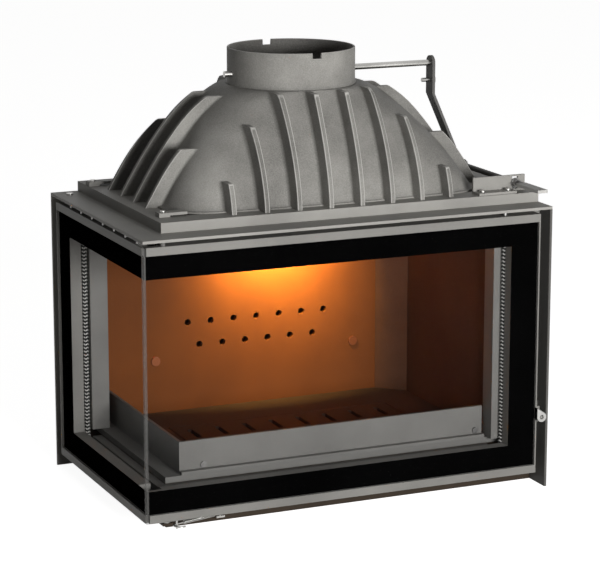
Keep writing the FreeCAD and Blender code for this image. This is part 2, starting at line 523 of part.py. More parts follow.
node("door_stop_pin", rod("door_stop_pin", "z", f"{DOOR_RIGHT} - stop_pin_in", "stop_pin_y",
                          f"{PLATE_LOW} - door_gap + washer_clear", "stop_pin", "door_gap - washer_clear"))

# Latch in the gap beside the door: a bright nub with a socket for a loose handle, a spindle and a tongue.
nub_boss = rod("nub_boss", "y", LATCH_X, "-nub_gap - nub_depth", "latch_up", "nub_radius", "nub_depth")
nub_tip = block("nub_tip_block", (f"{LATCH_X} - nub_radius", f"{LATCH_X} - nub_radius + 2 * nub_tip_half"),
                ("-nub_gap - nub_depth", "-nub_gap"), ("latch_up", "latch_up + nub_tip"))
nub_socket = rod("nub_socket_hole", "y", LATCH_X, "-nub_gap - nub_depth - cut_over", "latch_up", "nub_socket",
                 "nub_socket_depth + cut_over")
node("latch_nub", cut("latch_nub", fuse("nub_blank", nub_boss, nub_tip), nub_socket))
node("latch_spindle", rod("latch_spindle", "y", LATCH_X, "-nub_gap", "latch_up", "latch_radius",
                          "nub_gap + tongue_front"))
node("latch_tongue", block("latch_tongue", (f"{LATCH_X} - tongue_half", f"{LATCH_X} + tongue_half"),
                           ("tongue_front", "tongue_front + tongue_sheet"),
                           ("latch_up - tongue_reach", "latch_up + tongue_half")))
node("latch_keeper", block("latch_keeper", (f"{INNER_RIGHT} - keeper_reach", INNER_RIGHT),
                           ("keeper_front", "keeper_front + keeper_sheet"),
                           ("latch_up - keeper_half / 2", "latch_up + keeper_half")))


# Smoke dome: one casting with upright ribs front and back and fins on both ends.
dome_low_x = size("seat_inset") + size("dome_left") - size("flue_x")
dome_high_x = size("overall_width") - size("dome_right") - size("flue_x")
dome_low_y = size("seat_inset") + size("dome_front") - size("flue_y")
dome_high_y = size("overall_depth") - size("dome_back") - size("flue_y")
dome_off = Vector(dome_low_x + dome_high_x, dome_low_y + dome_high_y, 0) * 0.5


def dome_section(rise, grow_x, grow_y):
    """Outline at a height share: straight ends, round corners and bowed long sides, tangent to each other."""
    half_x = (dome_high_x - dome_low_x) / 2 - size("crown")
    half_x = size("crown") + half_x * (1 - rise) ** size("end_curve") + grow_x
    half_y = (dome_high_y - dome_low_y) / 2 - size("crown")
    half_y = size("crown") + half_y * (1 - rise ** size("front_curve")) + grow_y
    corner = size("dome_corner") + (size("crown") - size("dome_corner")) * rise ** size("corner_curve")
    corner = min(corner + grow_y, min(half_x, half_y) - size("dome_edge"))
    bow = half_x * (size("bow_crown") + size("bow_foot") * (1 - rise) ** 2)
    across = half_x - corner
    apart = math.sqrt((bow - corner) ** 2 - across ** 2)
    along = half_y - bow + apart
    lean = math.atan2(apart, across)
    centre = dome_off * (1 - rise) + Vector(0, 0, seat_top + size("dome_height") * rise)

    def on_corner(sign_x, sign_y, angle):
        """Point of one corner, by its angle from the end towards the long side."""
        return centre + Vector(sign_x * (across + corner * math.cos(angle)),
                               sign_y * (along + corner * math.sin(angle)), 0)

    corners = []
    for sign_x, sign_y in ((1, 1), (-1, 1), (-1, -1), (1, -1)):
        points = [on_corner(sign_x, sign_y, angle) for angle in (0, lean / 2, lean)]
        corners.append(points if sign_x == sign_y else points[::-1])
    wire = []
    for k, (here, following) in enumerate(zip(corners, corners[1:] + corners[:1])):
        wire.append(Part.Arc(*here).toShape())
        if k % 2:
            wire.append(Part.LineSegment(here[2], following[0]).toShape())
        else:
            side = centre + Vector(0, half_y if k == 0 else -half_y, 0)
            wire.append(Part.Arc(here[2], side, following[0]).toShape())
    return Part.Wire(wire)


DOME_SHARES = (0, 0.1, 0.2, 0.3, 0.4, 0.5, 0.6, 0.7, 0.79, 0.87, 0.93, 0.97, 1)


def dome_loft(grow_x, grow_y, lean=0):
    """Solid through the dome's sections, grown outwards or inwards, and by the lean more at the crown."""
    sections = [dome_section(share, grow_x, grow_y + lean * share) for share in DOME_SHARES]
    return Part.makeLoft(sections, True, True)


def upright(x, y, top):
    """Plate over a range of x and of y, from the seat up to a height over it."""
    return Part.makeBox(x[1] - x[0], y[1] - y[0], top, Vector(x[0], y[0], seat_top))


half_fin = size("fin_sheet") / 2
rib_tops = [size(w) for w in ("rib_low", "rib_middle", "rib_high", "rib_high")]
rib_tops += rib_tops[::-1]
fin_tops = [size(w) for w in ("fin_front", "fin_high", "fin_high", "fin_rear")]
plates = []


def spread(low, high, tops):
    """Places of equal pitch between two ends, each with its top."""
    return [(low + (high - low) * k / (len(tops) - 1), top) for k, top in enumerate(tops)]


whole_x = (-size("flue_x"), size("overall_width") - size("flue_x"))
whole_y = (-size("flue_y"), size("overall_depth") - size("flue_y") - size("rib_back"))
for x, top in spread(dome_low_x + size("rib_left"), dome_high_x - size("rib_right"), rib_tops):
    plates.append(upright((x - half_fin, x + half_fin), whole_y, top))
for y, top in spread(dome_low_y + size("fin_before"), dome_high_y - size("fin_behind"), fin_tops):
    plates.append(upright(whole_x, (y - half_fin, y + half_fin), top))
envelope = dome_loft(size("fin_depth"), size("rib_depth"), size("rib_lean"))
outer = dome_loft(0, 0)
inner = dome_loft(-size("dome_wall"), -size("dome_wall"))
flange_wire = dome_section(0, size("dome_flange"), size("dome_flange"))
dome_foot = Part.Face(flange_wire).extrude(Vector(0, 0, size("dome_flange_rise")))
fins = plates[0].multiFuse(plates[1:]).common(envelope)
throat = Part.makeCylinder(size("throat_radius"), size("dome_wall") * 4,
                           Vector(0, 0, crown_top - size("dome_wall") * 2))
roof = Part.makeCylinder(size("crown"), size("dome_wall"), Vector(0, 0, crown_top - size("dome_wall")))
dome_shape = outer.fuse([dome_foot, fins]).cut(inner).fuse(roof).cut(throat).removeSplitter()
node("smoke_dome", feature("smoke_dome", dome_shape))

# Flue collar on the crown: socket for the pipe, a stop under it and the bores for the damper shaft.
collar_wall = rod("collar_wall", "z", "flue_x", "flue_y", CROWN_TOP, "collar_radius", "collar_height")
collar_foot = rod("collar_foot", "z", "flue_x", "flue_y", CROWN_TOP, "collar_flange", "collar_flange_rise")
collar_throat = rod("collar_throat", "z", "flue_x", "flue_y", f"{CROWN_TOP} - cut_over", "throat_radius",
                    "collar_height + 2 * cut_over")
collar_socket = rod("collar_socket", "z", "flue_x", "flue_y", f"{RIM_TOP} - socket_depth", "socket_radius",
                    "socket_depth + cut_over")
across_x = ("flue_x - collar_radius - cut_over", "flue_x + collar_radius + cut_over")
across_y = ("flue_y - collar_radius - cut_over", "flue_y + collar_radius + cut_over")
shaft_bore = rod("shaft_bore", "x", across_x[0], "flue_y", SHAFT_UP, "shaft_radius + fit",
                 "2 * (collar_radius + cut_over)")
notch_z = (f"{RIM_TOP} - notch_depth", f"{RIM_TOP} + cut_over")
notch_y = block("rim_notch_y", ("flue_x - notch_width / 2", "flue_x + notch_width / 2"), across_y, notch_z)
node("flue_collar", cut("flue_collar", fuse("collar_blank", collar_wall, collar_foot),
                        collar_throat, collar_socket, shaft_bore, notch_y))

# Damper: shaft through the collar, round flap on a hub under it, two bolts and the long arm beside the dome.
ARM_X = f"{RIGHT} - arm_in"
ARM_RIGHT = f"{ARM_X} + arm_sheet"
bolt_x = ("flue_x - flap_bolt_reach", "flue_x + flap_bolt_reach")
HUB_LOW = f"{SHAFT_UP} - flap_hub"
shaft_round = rod("shaft_round", "x", "shaft_left", "flue_y", SHAFT_UP, "shaft_radius",
                  f"{ARM_RIGHT} - shaft_left")
shaft_holes = [rod(f"shaft_hole_{k}", "z", x, "flue_y", f"{SHAFT_UP} - shaft_radius - cut_over",
                   "flap_bolt + fit", "2 * (shaft_radius + cut_over)") for k, x in enumerate(bolt_x)]
node("damper_shaft", cut("damper_shaft", shaft_round, *shaft_holes))
flap_disc = rod("flap_disc", "z", "flue_x", "flue_y", HUB_LOW, "flap_radius", "flap_sheet")
flap_bar = block("flap_bar", ("flue_x - flap_radius + flap_hub", "flue_x + flap_radius - flap_hub"),
                 ("flue_y - flap_hub", "flue_y + flap_hub"), (HUB_LOW, SHAFT_UP))
flap_groove = rod("flap_groove", "x", "flue_x - flap_radius", "flue_y", SHAFT_UP, "shaft_radius + fit",
                  "2 * flap_radius")
flap_holes = [rod(f"flap_hole_{k}", "z", x, "flue_y", f"{HUB_LOW} - cut_over", "flap_bolt + fit",
                  "flap_hub + 2 * cut_over") for k, x in enumerate(bolt_x)]
node("damper_flap", cut("damper_flap", fuse("flap_blank", flap_disc, flap_bar), flap_groove, *flap_holes))
node("damper_flap_bolts", group("damper_flap_bolts", *[
    fuse(f"flap_bolt_{k}",
         rod(f"flap_bolt_head_{k}", "z", x, "flue_y", f"{SHAFT_UP} + shaft_radius", "flap_bolt_head",
             "flap_bolt_head_rise"),
         rod(f"flap_bolt_shank_{k}", "z", x, "flue_y", HUB_LOW, "flap_bolt", "flap_hub + shaft_radius"))
    for k, x in enumerate(bolt_x)]))

ARM_FOOT = f"{ARM_X} + arm_step"
FOOT_RIGHT = f"{ARM_FOOT} + arm_sheet"
arm_left = size("overall_width") - size("arm_in") - size("flue_x")
pin_up = seat_top + size("arm_pin_up")
arm_steps = [Vector(arm_left, 0, shaft_up + size("arm_half")),
             Vector(arm_left, 0, seat_top + size("arm_bend_up")),
             Vector(arm_left + size("arm_step"), 0, seat_top + size("arm_step_up")),
             Vector(arm_left + size("arm_step"), 0, pin_up - size("arm_half"))]
arm_section = arm_steps + [point + Vector(size("arm_sheet"), 0, 0) for point in reversed(arm_steps)]
arm_face = Part.Face(Part.makePolygon(arm_section + arm_section[:1]))
arm_strip = arm_face.extrude(Vector(0, 2 * size("arm_half"), 0))
arm_strip.translate(Vector(0, -size("arm_half"), 0))
arm_reach = size("arm_step") + size("arm_sheet")
arm_long = shaft_up - pin_up
arm_round = Part.makeBox(arm_reach, 2 * size("arm_half"), arm_long,
                         Vector(arm_left, -size("arm_half"), pin_up))


def across_arm(word, up):
    """Cylinder through the whole reach of the arm at a height."""
    return Part.makeCylinder(size(word), arm_reach, Vector(arm_left, 0, up), Vector(1, 0, 0))


for up in (shaft_up, pin_up):
    arm_round = arm_round.fuse(across_arm("arm_half", up))
arm_holes = (("shaft_radius", shaft_up), ("arm_screw", seat_top + size("arm_screw_up")), ("arm_pin", pin_up))
for word, up in arm_holes:
    arm_strip = arm_strip.cut(across_arm(word, up))
node("damper_arm", feature("damper_arm", arm_strip.common(arm_round).removeSplitter()))
ARM_SCREW_UP = f"{SEAT_TOP} + arm_screw_up"
node("arm_screw", fuse("arm_screw",
    rod("arm_screw_shank", "x", f"{ARM_X} - arm_screw_tail", "flue_y", ARM_SCREW_UP, "arm_screw",
        "arm_screw_tail + arm_sheet"),
    rod("arm_screw_cap", "x", ARM_RIGHT, "flue_y", ARM_SCREW_UP, "arm_screw_head", "arm_screw_head_rise")))

# Pull rod: hangs on the arm's pin, runs forward through the slot of its bracket and ends in a flat handle.
ROD_EYE = f"{FOOT_RIGHT} + rod_gap"
ROD_X = f"{ROD_EYE} + rod_eye_sheet / 2"
PIN_END = f"{ROD_EYE} + rod_eye_sheet + washer_clear"
node("arm_pin", fuse("arm_pin",
    rod("arm_pin_shank", "x", ARM_FOOT, "flue_y", PIN_UP, "arm_pin", f"{PIN_END} - ({ARM_FOOT})"),
    rod("arm_pin_cap", "x", PIN_END, "flue_y", PIN_UP, "arm_pin_head", "arm_pin_head_rise")))
rod_bar = rod("rod_bar", "y", ROD_X, "rod_front", PIN_UP, "rod_radius", "flue_y - rod_front")
rod_ring = rod("rod_ring", "x", ROD_EYE, "flue_y", PIN_UP, "rod_eye", "rod_eye_sheet")
rod_bore = rod("rod_bore", "x", f"{ROD_EYE} - cut_over", "flue_y", PIN_UP, "arm_pin + fit",
               "rod_eye_sheet + 2 * cut_over")
rod_flat = block("rod_flat", (f"{ROD_X} - handle_half", f"{ROD_X} + handle_half"),
                 ("handle_front", "rod_front"),
                 (f"{PIN_UP} - handle_sheet / 2", f"{PIN_UP} + handle_sheet / 2"))
node("pull_rod", cut("pull_rod", fuse("rod_blank", rod_bar, rod_ring, rod_flat), rod_bore))
COLLAR_BACK = "bracket_y - washer_clear"
collar_disc = rod("collar_disc", "y", ROD_X, f"{COLLAR_BACK} - collar_washer_sheet", PIN_UP,
                  "collar_washer", "collar_washer_sheet")
collar_nut = rod("collar_nut_round", "y", ROD_X, f"{COLLAR_BACK} - collar_washer_sheet - collar_nut_rise",
                 PIN_UP, "collar_nut", "collar_nut_rise")
collar_hole = rod("collar_hole", "y", ROD_X, "rod_front", PIN_UP, "rod_radius", "bracket_y - rod_front")
node("rod_stop_collar", cut("rod_stop_collar", fuse("collar_stack", collar_disc, collar_nut), collar_hole))

# Bracket of the pull rod: an angle screwed to the seat frame, with an upright slot round the rod.
BRACKET_RIGHT = f"{ROD_X} + bracket_end"
BRACKET_LEFT = f"{BRACKET_RIGHT} - bracket_length"
bracket_plate = block("bracket_plate", (BRACKET_LEFT, BRACKET_RIGHT),
                      ("bracket_y", "bracket_y + bracket_sheet"), (SEAT_TOP, f"{SEAT_TOP} + bracket_rise"))
bracket_foot = block("bracket_foot_sheet", (BRACKET_LEFT, f"{ROD_X} - collar_washer"),
                     ("bracket_y - bracket_foot", "bracket_y"), (SEAT_TOP, f"{SEAT_TOP} + bracket_sheet"))
GUIDE = "rod_radius + guide_clear"
guide_slot = block("guide_slot", (f"{ROD_X} - ({GUIDE})", f"{ROD_X} + {GUIDE}"),
                   ("bracket_y - cut_over", "bracket_y + bracket_sheet + cut_over"),
                   (f"{PIN_UP} - guide_half", f"{PIN_UP} + guide_half"))
node("rod_bracket", cut("rod_bracket", fuse("bracket_angle", bracket_plate, bracket_foot), guide_slot))
node("bracket_screws", group("bracket_screws", *[
    rod(f"bracket_screw_{k}", "z", x, "bracket_y - bracket_foot / 2", f"{SEAT_TOP} + bracket_sheet",
        "screw_head", "screw_head_rise")
    for k, x in enumerate((f"{BRACKET_LEFT} + bracket_foot / 2",
                           f"{ROD_X} - collar_washer - bracket_foot / 2"))]))

# Clamps: flat bars that hold the foot of the dome down on the seat frame, each with one screw.
CLAMP_LOW = f"{SEAT_TOP} + dome_flange_rise"
CLAMP_TOP = f"{CLAMP_LOW} + clamp_sheet"
clamp_parts = []
clamp_screws = []
REAR_Y = f"{DOME_Y[1]} - clamp_rear_y"
FRONT_Y = f"{DOME_Y[0]} + clamp_front_y"
LEFT_REAR_X = "seat_inset + clamp_rear_x"
clamp_spots = [("left_front", "seat_inset + clamp_front_x", FRONT_Y), ("left_rear", LEFT_REAR_X, REAR_Y),
               ("right_rear", f"{DOME_X[1]} + {DOME_X[0]} - ({LEFT_REAR_X}) - clamp_length", REAR_Y)]
for name, x, y in clamp_spots:
    screw_x = f"{x} + clamp_width / 2" if name.startswith("left") else f"{x} + clamp_length - clamp_width / 2"
    clamp_y = (f"{y} - clamp_width / 2", f"{y} + clamp_width / 2")
    bar = block(f"clamp_bar_{name}", (x, f"{x} + clamp_length"), clamp_y, (CLAMP_LOW, CLAMP_TOP))
    heel_x = (f"{screw_x} - clamp_width / 2", f"{screw_x} + clamp_width / 2")
    heel = block(f"clamp_heel_{name}", heel_x, clamp_y, (SEAT_TOP, CLAMP_LOW))
    clamp_parts.append(fuse(f"clamp_{name}", bar, heel))
    clamp_screws.append(rod(f"clamp_screw_{name}", "z", screw_x, y, CLAMP_TOP, "clamp_head", "clamp_head_rise"))
node("dome_clamps", group("dome_clamps", *clamp_parts))
node("dome_clamp_screws", group("dome_clamp_screws", *clamp_screws))

# Door spring: lug and pin on the tray, eye with its plug, the coil and the hook that reaches the door's pin.
LUG_TOP = "spring_up - eye_thick / 2 - washer_clear"
lug = block("anchor_lug_sheet_blank", ("anchor_x - anchor_lug_half", "anchor_x + anchor_lug_half"),
            ("anchor_y - anchor_lug_half", "base_inset"),
            (f"{LUG_TOP} - anchor_lug_sheet", LUG_TOP))
lug_pin = rod("anchor_pin_round", "z", "anchor_x", "anchor_y", LUG_TOP, "anchor_pin", "2 * eye_thick")
node("spring_anchor", fuse("spring_anchor", lug, lug_pin))
anchor_at = Vector(size("anchor_x") - size("flue_x"), size("anchor_y") - size("flue_y"), size("spring_up"))
pin_from_anchor = Vector(size("spring_pin_x") - size("anchor_x"), size("spring_pin_y") - size("anchor_y"), 0)
pin_distance = pin_from_anchor.Length
pin_heading = math.atan2(pin_from_anchor.y, pin_from_anchor.x)
spring_heading = pin_heading - math.asin(size("hook_bow") / pin_distance)
spring_place = FreeCAD.Placement(anchor_at, FreeCAD.Rotation(Vector(0, 0, 1), math.degrees(spring_heading)))


def on_spring(name, shape):
    """Piece drawn along its own X axis and laid along the spring."""
    obj = feature(name, shape)
    obj.Placement = spring_place
    return obj


eye_height = size("eye_thick")
eye_disc = Part.makeCylinder(size("eye_ring"), eye_height, Vector(0, 0, -eye_height / 2))
plug_end = size("coil_start") + size("plug_length")
plug = Part.makeCylinder(size("plug_radius"), plug_end, Vector(), Vector(1, 0, 0))
eye_hole = Part.makeCylinder(size("anchor_pin") + size("fit"), 4 * eye_height, Vector(0, 0, -2 * eye_height))
node("spring_eye", on_spring("spring_eye", eye_disc.fuse(plug).cut(eye_hole)))


def biarc(start, start_way, end, end_way):
    """Two arcs that join two points and are tangent to both directions."""
    gap = end - start
    both = start_way + end_way
    a = 2 * (1 - start_way.dot(end_way))
    b = 2 * gap.dot(both)
    c = -gap.dot(gap)
    reach = -c / b if abs(a) < 1e-9 else (-b + math.sqrt(b * b - 4 * a * c)) / (2 * a)
    joint = ((start + start_way * reach) + (end - end_way * reach)) * 0.5
    arcs = []
    for here, way, there in ((start, start_way, joint), (end, end_way * -1, joint)):
        chord = there - here
        normal = (chord - way * chord.dot(way)).normalize()
        radius = chord.dot(chord) / (2 * chord.dot(normal))
        centre = here + normal * radius
        middle = centre + ((here - centre) + (there - centre)).normalize() * radius
        arcs.append((here, middle, there))
    arcs[1] = arcs[1][::-1]
    return [Part.Arc(*three).toShape() for three in arcs]


def helix_point(turns):
    """Point and direction on the coil after a number of turns."""
    angle = 2 * math.pi * turns
    spin = Vector(0, math.cos(angle), math.sin(angle))
    way = Vector(size("coil_pitch") / (2 * math.pi), 0, 0)
    way += Vector(0, -math.sin(angle), math.cos(angle)) * size("coil_radius")
    along = Vector(size("coil_start") + turns * size("coil_pitch"), 0, 0)
    return spin * size("coil_radius") + along, way.normalize()


coil_edges = []
quarters = int(size("coil_turns")) * 4
first_point, first_way = helix_point(0)
last_point, last_way = helix_point(quarters / 4)
lead = 2 * size("wire")
coil_edges.append(Part.LineSegment(first_point - first_way * lead, first_point).toShape())
for k in range(quarters):
    coil_edges += biarc(*helix_point(k / 4), *helix_point((k + 1) / 4))
coil_edges.append(Part.LineSegment(last_point, last_point + last_way * lead).toShape())
wire_ring = Part.Wire(Part.makeCircle(size("wire"), first_point - first_way * lead, first_way))
node("spring_coil", on_spring("spring_coil", Part.Wire(coil_edges).makePipeShell([wire_ring], True, False)))
samples = [helix_point(k / 48)[0] for k in range(quarters * 12 + 1)]
turn_gaps = [(a - b).Length for a, b in zip(samples, samples[44:])]
print("spring least gap between turns", round(min(turn_gaps) - 2 * size("wire"), 3))

bow = size("hook_bow")
pin_along = math.sqrt(pin_distance ** 2 - bow ** 2)
bow_at = Vector(pin_along - bow + size("spring_pin") + size("hook_radius") + size("washer_clear"), bow, 0)
coil_end = size("coil_start") + size("coil_turns") * size("coil_pitch")
leg_start = Vector(coil_end - size("hook_inside"), 0, 0)
leg_end = bow_at - Vector(0, bow, 0)
bow_end = bow_at + Vector(0, bow, 0)
hook_path = [Part.LineSegment(leg_start, leg_end).toShape(),
             Part.Arc(leg_end, bow_at + Vector(bow, 0, 0), bow_end).toShape(),
             Part.LineSegment(bow_end, bow_end - Vector(2 * size("hook_radius"), 0, 0)).toShape()]
hook_ring = Part.Wire(Part.makeCircle(size("hook_radius"), leg_start, Vector(1, 0, 0)))
node("spring_hook", on_spring("spring_hook", Part.Wire(hook_path).makePipeShell([hook_ring], True, False)))

# Recompute, look for failures and write one file per piece.
doc.recompute()
failed = [o.Label for o in doc.Objects if "Invalid" in o.State or "Error" in o.State]
for obj in NODES:
    if obj.Shape.isNull() or not obj.Shape.isValid():
        failed.append(obj.Label)
if failed:
    raise SystemExit("failed: " + ", ".join(failed))
os.makedirs("parts", exist_ok=True)
for obj in NODES:
    obj.Shape.exportStep(f"parts/{obj.Label}.step")
print(len(NODES), "nodes")
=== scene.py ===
import math

import bpy
import numpy as np
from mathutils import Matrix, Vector


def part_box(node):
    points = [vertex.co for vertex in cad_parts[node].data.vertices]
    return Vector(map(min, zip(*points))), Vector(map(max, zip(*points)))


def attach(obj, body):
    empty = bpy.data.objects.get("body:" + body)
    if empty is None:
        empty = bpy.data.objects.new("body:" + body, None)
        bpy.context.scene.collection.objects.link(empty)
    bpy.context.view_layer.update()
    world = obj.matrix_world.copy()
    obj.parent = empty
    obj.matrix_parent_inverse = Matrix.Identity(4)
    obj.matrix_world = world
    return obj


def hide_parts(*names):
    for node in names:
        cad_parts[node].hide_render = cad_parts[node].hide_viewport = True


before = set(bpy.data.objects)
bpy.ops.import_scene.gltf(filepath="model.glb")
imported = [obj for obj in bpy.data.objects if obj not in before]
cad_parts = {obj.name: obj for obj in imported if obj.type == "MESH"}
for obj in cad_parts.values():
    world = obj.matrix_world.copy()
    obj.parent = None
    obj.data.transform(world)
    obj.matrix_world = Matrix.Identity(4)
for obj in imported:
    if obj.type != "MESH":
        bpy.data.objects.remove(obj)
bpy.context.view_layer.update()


# Casing: back and right panels, top plate, the ring under the dome, the base tray and its hinge arm.
# Folded sheet steel, sprayed with a grey heat-resistant paint that dries slightly grainy; the side
# panel and the tray are coloured much darker than the rest as painted shade.
def node_group(name, inputs, outputs):
    """Empty shader node group; an input is (name, type, default) and an output is (name, type)."""
    group = bpy.data.node_groups.new(name, "ShaderNodeTree")
    for label, kind, value in inputs:
        group.interface.new_socket(label, in_out="INPUT", socket_type=kind).default_value = value
    for label, kind in outputs:
        group.interface.new_socket(label, in_out="OUTPUT", socket_type=kind)
    return group, group.nodes.new("NodeGroupInput"), group.nodes.new("NodeGroupOutput")


def feed(tree, socket, value):
    """Link a node's input to another node's output, or set it to a plain value."""
    if isinstance(value, bpy.types.NodeSocket):
        tree.links.new(value, socket)
    else:
        socket.default_value = value


def reckon(tree, operation, *values):
    """Result of a Math node on sockets or plain numbers."""
    node = tree.nodes.new("ShaderNodeMath")
    node.operation = operation
    for socket, value in zip(node.inputs, values):
        feed(tree, socket, value)
    return node.outputs[0]


def noise(tree, vector, per_metre, detail, rough=0.55):
    """Noise value over a coordinate, with a number of features per metre."""
    node = tree.nodes.new("ShaderNodeTexNoise")
    for label, value in (("Vector", vector), ("Scale", per_metre), ("Detail", detail), ("Roughness", rough)):
        feed(tree, node.inputs[label], value)
    return node.outputs["Fac"]


def spread(tree, value, low, high, to_low=0.0, to_high=1.0):
    """Value stretched from one range to another and held at its ends."""
    node = tree.nodes.new("ShaderNodeMapRange")
    for label, number in (("Value", value), ("From Min", low), ("From Max", high),
                          ("To Min", to_low), ("To Max", to_high)):
        feed(tree, node.inputs[label], number)
    return node.outputs["Result"]


def blend_colours(tree, share, first, second):
    """Colour between two, by a share from 0 to 1; the Mix node keeps its colours at inputs 6 and 7."""
    node = tree.nodes.new("ShaderNodeMix")
    node.data_type = "RGBA"
    for place, value in ((0, share), (6, first), (7, second)):
        feed(tree, node.inputs[place], value)
    return node.outputs[2]


COLOUR, NUMBER = "NodeSocketColor", "NodeSocketFloat"
NOISE_LOW, NOISE_HIGH = 0.3, 0.7
TONE_LOW, TONE_HIGH = 0.3, 0.75
SPECKLE_SHARE, CLOUD_SHARE = 0.55, 0.45
grain, inside, outside = node_group(
    "sprayed grain",
    [("Paint", COLOUR, (0.4, 0.4, 0.4, 1)), ("Shade", COLOUR, (0.3, 0.3, 0.3, 1)), ("Grain", NUMBER, 600),
     ("Cloud", NUMBER, 7), ("Smooth", NUMBER, 0.4), ("Rough", NUMBER, 0.6)],
    [("Colour", COLOUR), ("Roughness", NUMBER), ("Height", NUMBER)])
place = grain.nodes.new("ShaderNodeTexCoord").outputs["Object"]
speckle = noise(grain, place, inside.outputs["Grain"], detail=3, rough=0.7)
cloud = noise(grain, place, inside.outputs["Cloud"], detail=4)
clouded = spread(grain, cloud, NOISE_LOW, NOISE_HIGH, 0, CLOUD_SHARE)
mottle = reckon(grain, "MULTIPLY_ADD", speckle, SPECKLE_SHARE, clouded)
tone = spread(grain, mottle, TONE_LOW, TONE_HIGH)
coat_colour = blend_colours(grain, tone, inside.outputs["Shade"], inside.outputs["Paint"])
dullness = spread(grain, cloud, NOISE_LOW, NOISE_HIGH, inside.outputs["Smooth"], inside.outputs["Rough"])
for label, value in (("Colour", coat_colour), ("Roughness", dullness), ("Height", speckle)):
    feed(grain, outside.inputs[label], value)


def new_material(name, gloss, metallic=0.0):
    """Material of a given gloss, with its node tree and its Principled shader."""
    material = bpy.data.materials.new(name)
    material.use_nodes = True
    shader = material.node_tree.nodes["Principled BSDF"]
    shader.inputs["Metallic"].default_value = metallic
    shader.inputs["Specular IOR Level"].default_value = gloss
    return material, material.node_tree, shader


def sprayed(name, paint, shade, grains_per_metre, bump, smooth, rough, metallic=0.0, gloss=0.06, edge=0.0008):
    """Sprayed or plated finish: speckled colour, clouded roughness, grain and soft edges.

    The colour lies between shade and paint and the roughness between smooth and rough. Bump is the
    height of the grain and edge the radius of the softened edges, both in metres."""
    material, tree, shader = new_material(name, gloss, metallic)
    coat = tree.nodes.new("ShaderNodeGroup")
    coat.node_tree = grain
    for label, value in (("Paint", (*paint, 1)), ("Shade", (*shade, 1)), ("Grain", grains_per_metre),
                         ("Smooth", smooth), ("Rough", rough)):
        coat.inputs[label].default_value = value
    tree.links.new(coat.outputs["Colour"], shader.inputs["Base Color"])
    tree.links.new(coat.outputs["Roughness"], shader.inputs["Roughness"])
    relief = tree.nodes.new("ShaderNodeBump")
    relief.inputs["Strength"].default_value = 1.0
    relief.inputs["Distance"].default_value = bump
    tree.links.new(coat.outputs["Height"], relief.inputs["Height"])
    if edge:
        soft = tree.nodes.new("ShaderNodeBevel")
        soft.samples = 4
        soft.inputs["Radius"].default_value = edge
        tree.links.new(soft.outputs["Normal"], relief.inputs["Normal"])
    tree.links.new(relief.outputs["Normal"], shader.inputs["Normal"])
    return material


def coat_nodes(material, *names):
    """Give CAD nodes a finish through their material slots."""
    for name in names:
        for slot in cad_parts[name].material_slots:
            slot.material = material


SHEET_COAT = {"grains_per_metre": 900, "bump": 0.00006, "smooth": 0.42, "rough": 0.56}
casing_paint = sprayed("casing paint", (0.37, 0.36, 0.335), (0.27, 0.262, 0.245), **SHEET_COAT)
coat_nodes(casing_paint, "back_panel", "top_plate", "dome_seat_frame")
# painted shade: the base tray and its hinge arm are coloured a very dark brown
base_shade_paint = sprayed("base paint", (0.05, 0.037, 0.027), (0.036, 0.027, 0.02),
                     grains_per_metre=900, bump=0.00006, smooth=0.46, rough=0.6)
coat_nodes(base_shade_paint, "base_tray", "lower_hinge_arm")
# painted shade: the right side panel is coloured darker than the rest of the casing
side_shade_paint = sprayed("side panel paint", (0.13, 0.127, 0.12), (0.092, 0.09, 0.085), **SHEET_COAT)
coat_nodes(side_shade_paint, "right_side_panel")


# Firebox: cast back plate with air holes, slanted corner strip, right plate, baffle, hearth, grate, ash pan.
# Plain castings, browned by heat, and the flap in the flue with them; the back plate is the warmest in
# tone. The hearth is painted grey in front of the log guard and to its left.
fireback = sprayed("browned fireback", (0.20, 0.064, 0.018), (0.15, 0.048, 0.014),
                   grains_per_metre=420, bump=0.00012, smooth=0.5, rough=0.68)
coat_nodes(fireback, "back_liner")
tinted = sprayed("heat-tinted screws", (0.33, 0.10, 0.032), (0.24, 0.07, 0.022), grains_per_metre=500,
                 bump=0.00004, smooth=0.25, rough=0.4, metallic=0.3, gloss=0.5, edge=0.0006)
coat_nodes(tinted, "back_liner_screws")
RAW_CASTING = {"grains_per_metre": 380, "bump": 0.00015, "smooth": 0.5, "rough": 0.7}
liner_iron = sprayed("browned liner iron", (0.105, 0.072, 0.055), (0.072, 0.05, 0.039), **RAW_CASTING)
coat_nodes(liner_iron, "right_liner", "baffle_plate")
strip_iron = sprayed("browned strip iron", (0.15, 0.07, 0.041), (0.105, 0.049, 0.029), **RAW_CASTING)
coat_nodes(strip_iron, "corner_liner")
HEARTH_BROWN, HEARTH_SHADE = (0.094, 0.06, 0.047), (0.064, 0.041, 0.032)
LEDGE_GREY = (0.19, 0.186, 0.176, 1)
hearth_iron = sprayed("browned hearth iron", HEARTH_BROWN, HEARTH_SHADE, **RAW_CASTING)
coat_nodes(hearth_iron, "fire_grate", "ash_pan", "damper_flap")


def past(tree, axis, edge):
    """1 where a coordinate of the object's frame lies past an edge, with a soft millimetre between."""
    parts = tree.nodes.new("ShaderNodeSeparateXYZ")
    tree.links.new(tree.nodes.new("ShaderNodeTexCoord").outputs["Object"], parts.inputs[0])
    return spread(tree, parts.outputs[axis], edge, edge + 0.001)


def recolour(material, share, first=None, second=None):
    """Base colour between two, by a share from 0 to 1; the one left out is the finish's own colour."""
    tree = material.node_tree
    own = tree.nodes["Group"].outputs["Colour"]
    mixed = blend_colours(tree, share, own if first is None else first, own if second is None else second)
    tree.links.new(mixed, tree.nodes["Principled BSDF"].inputs["Base Color"])


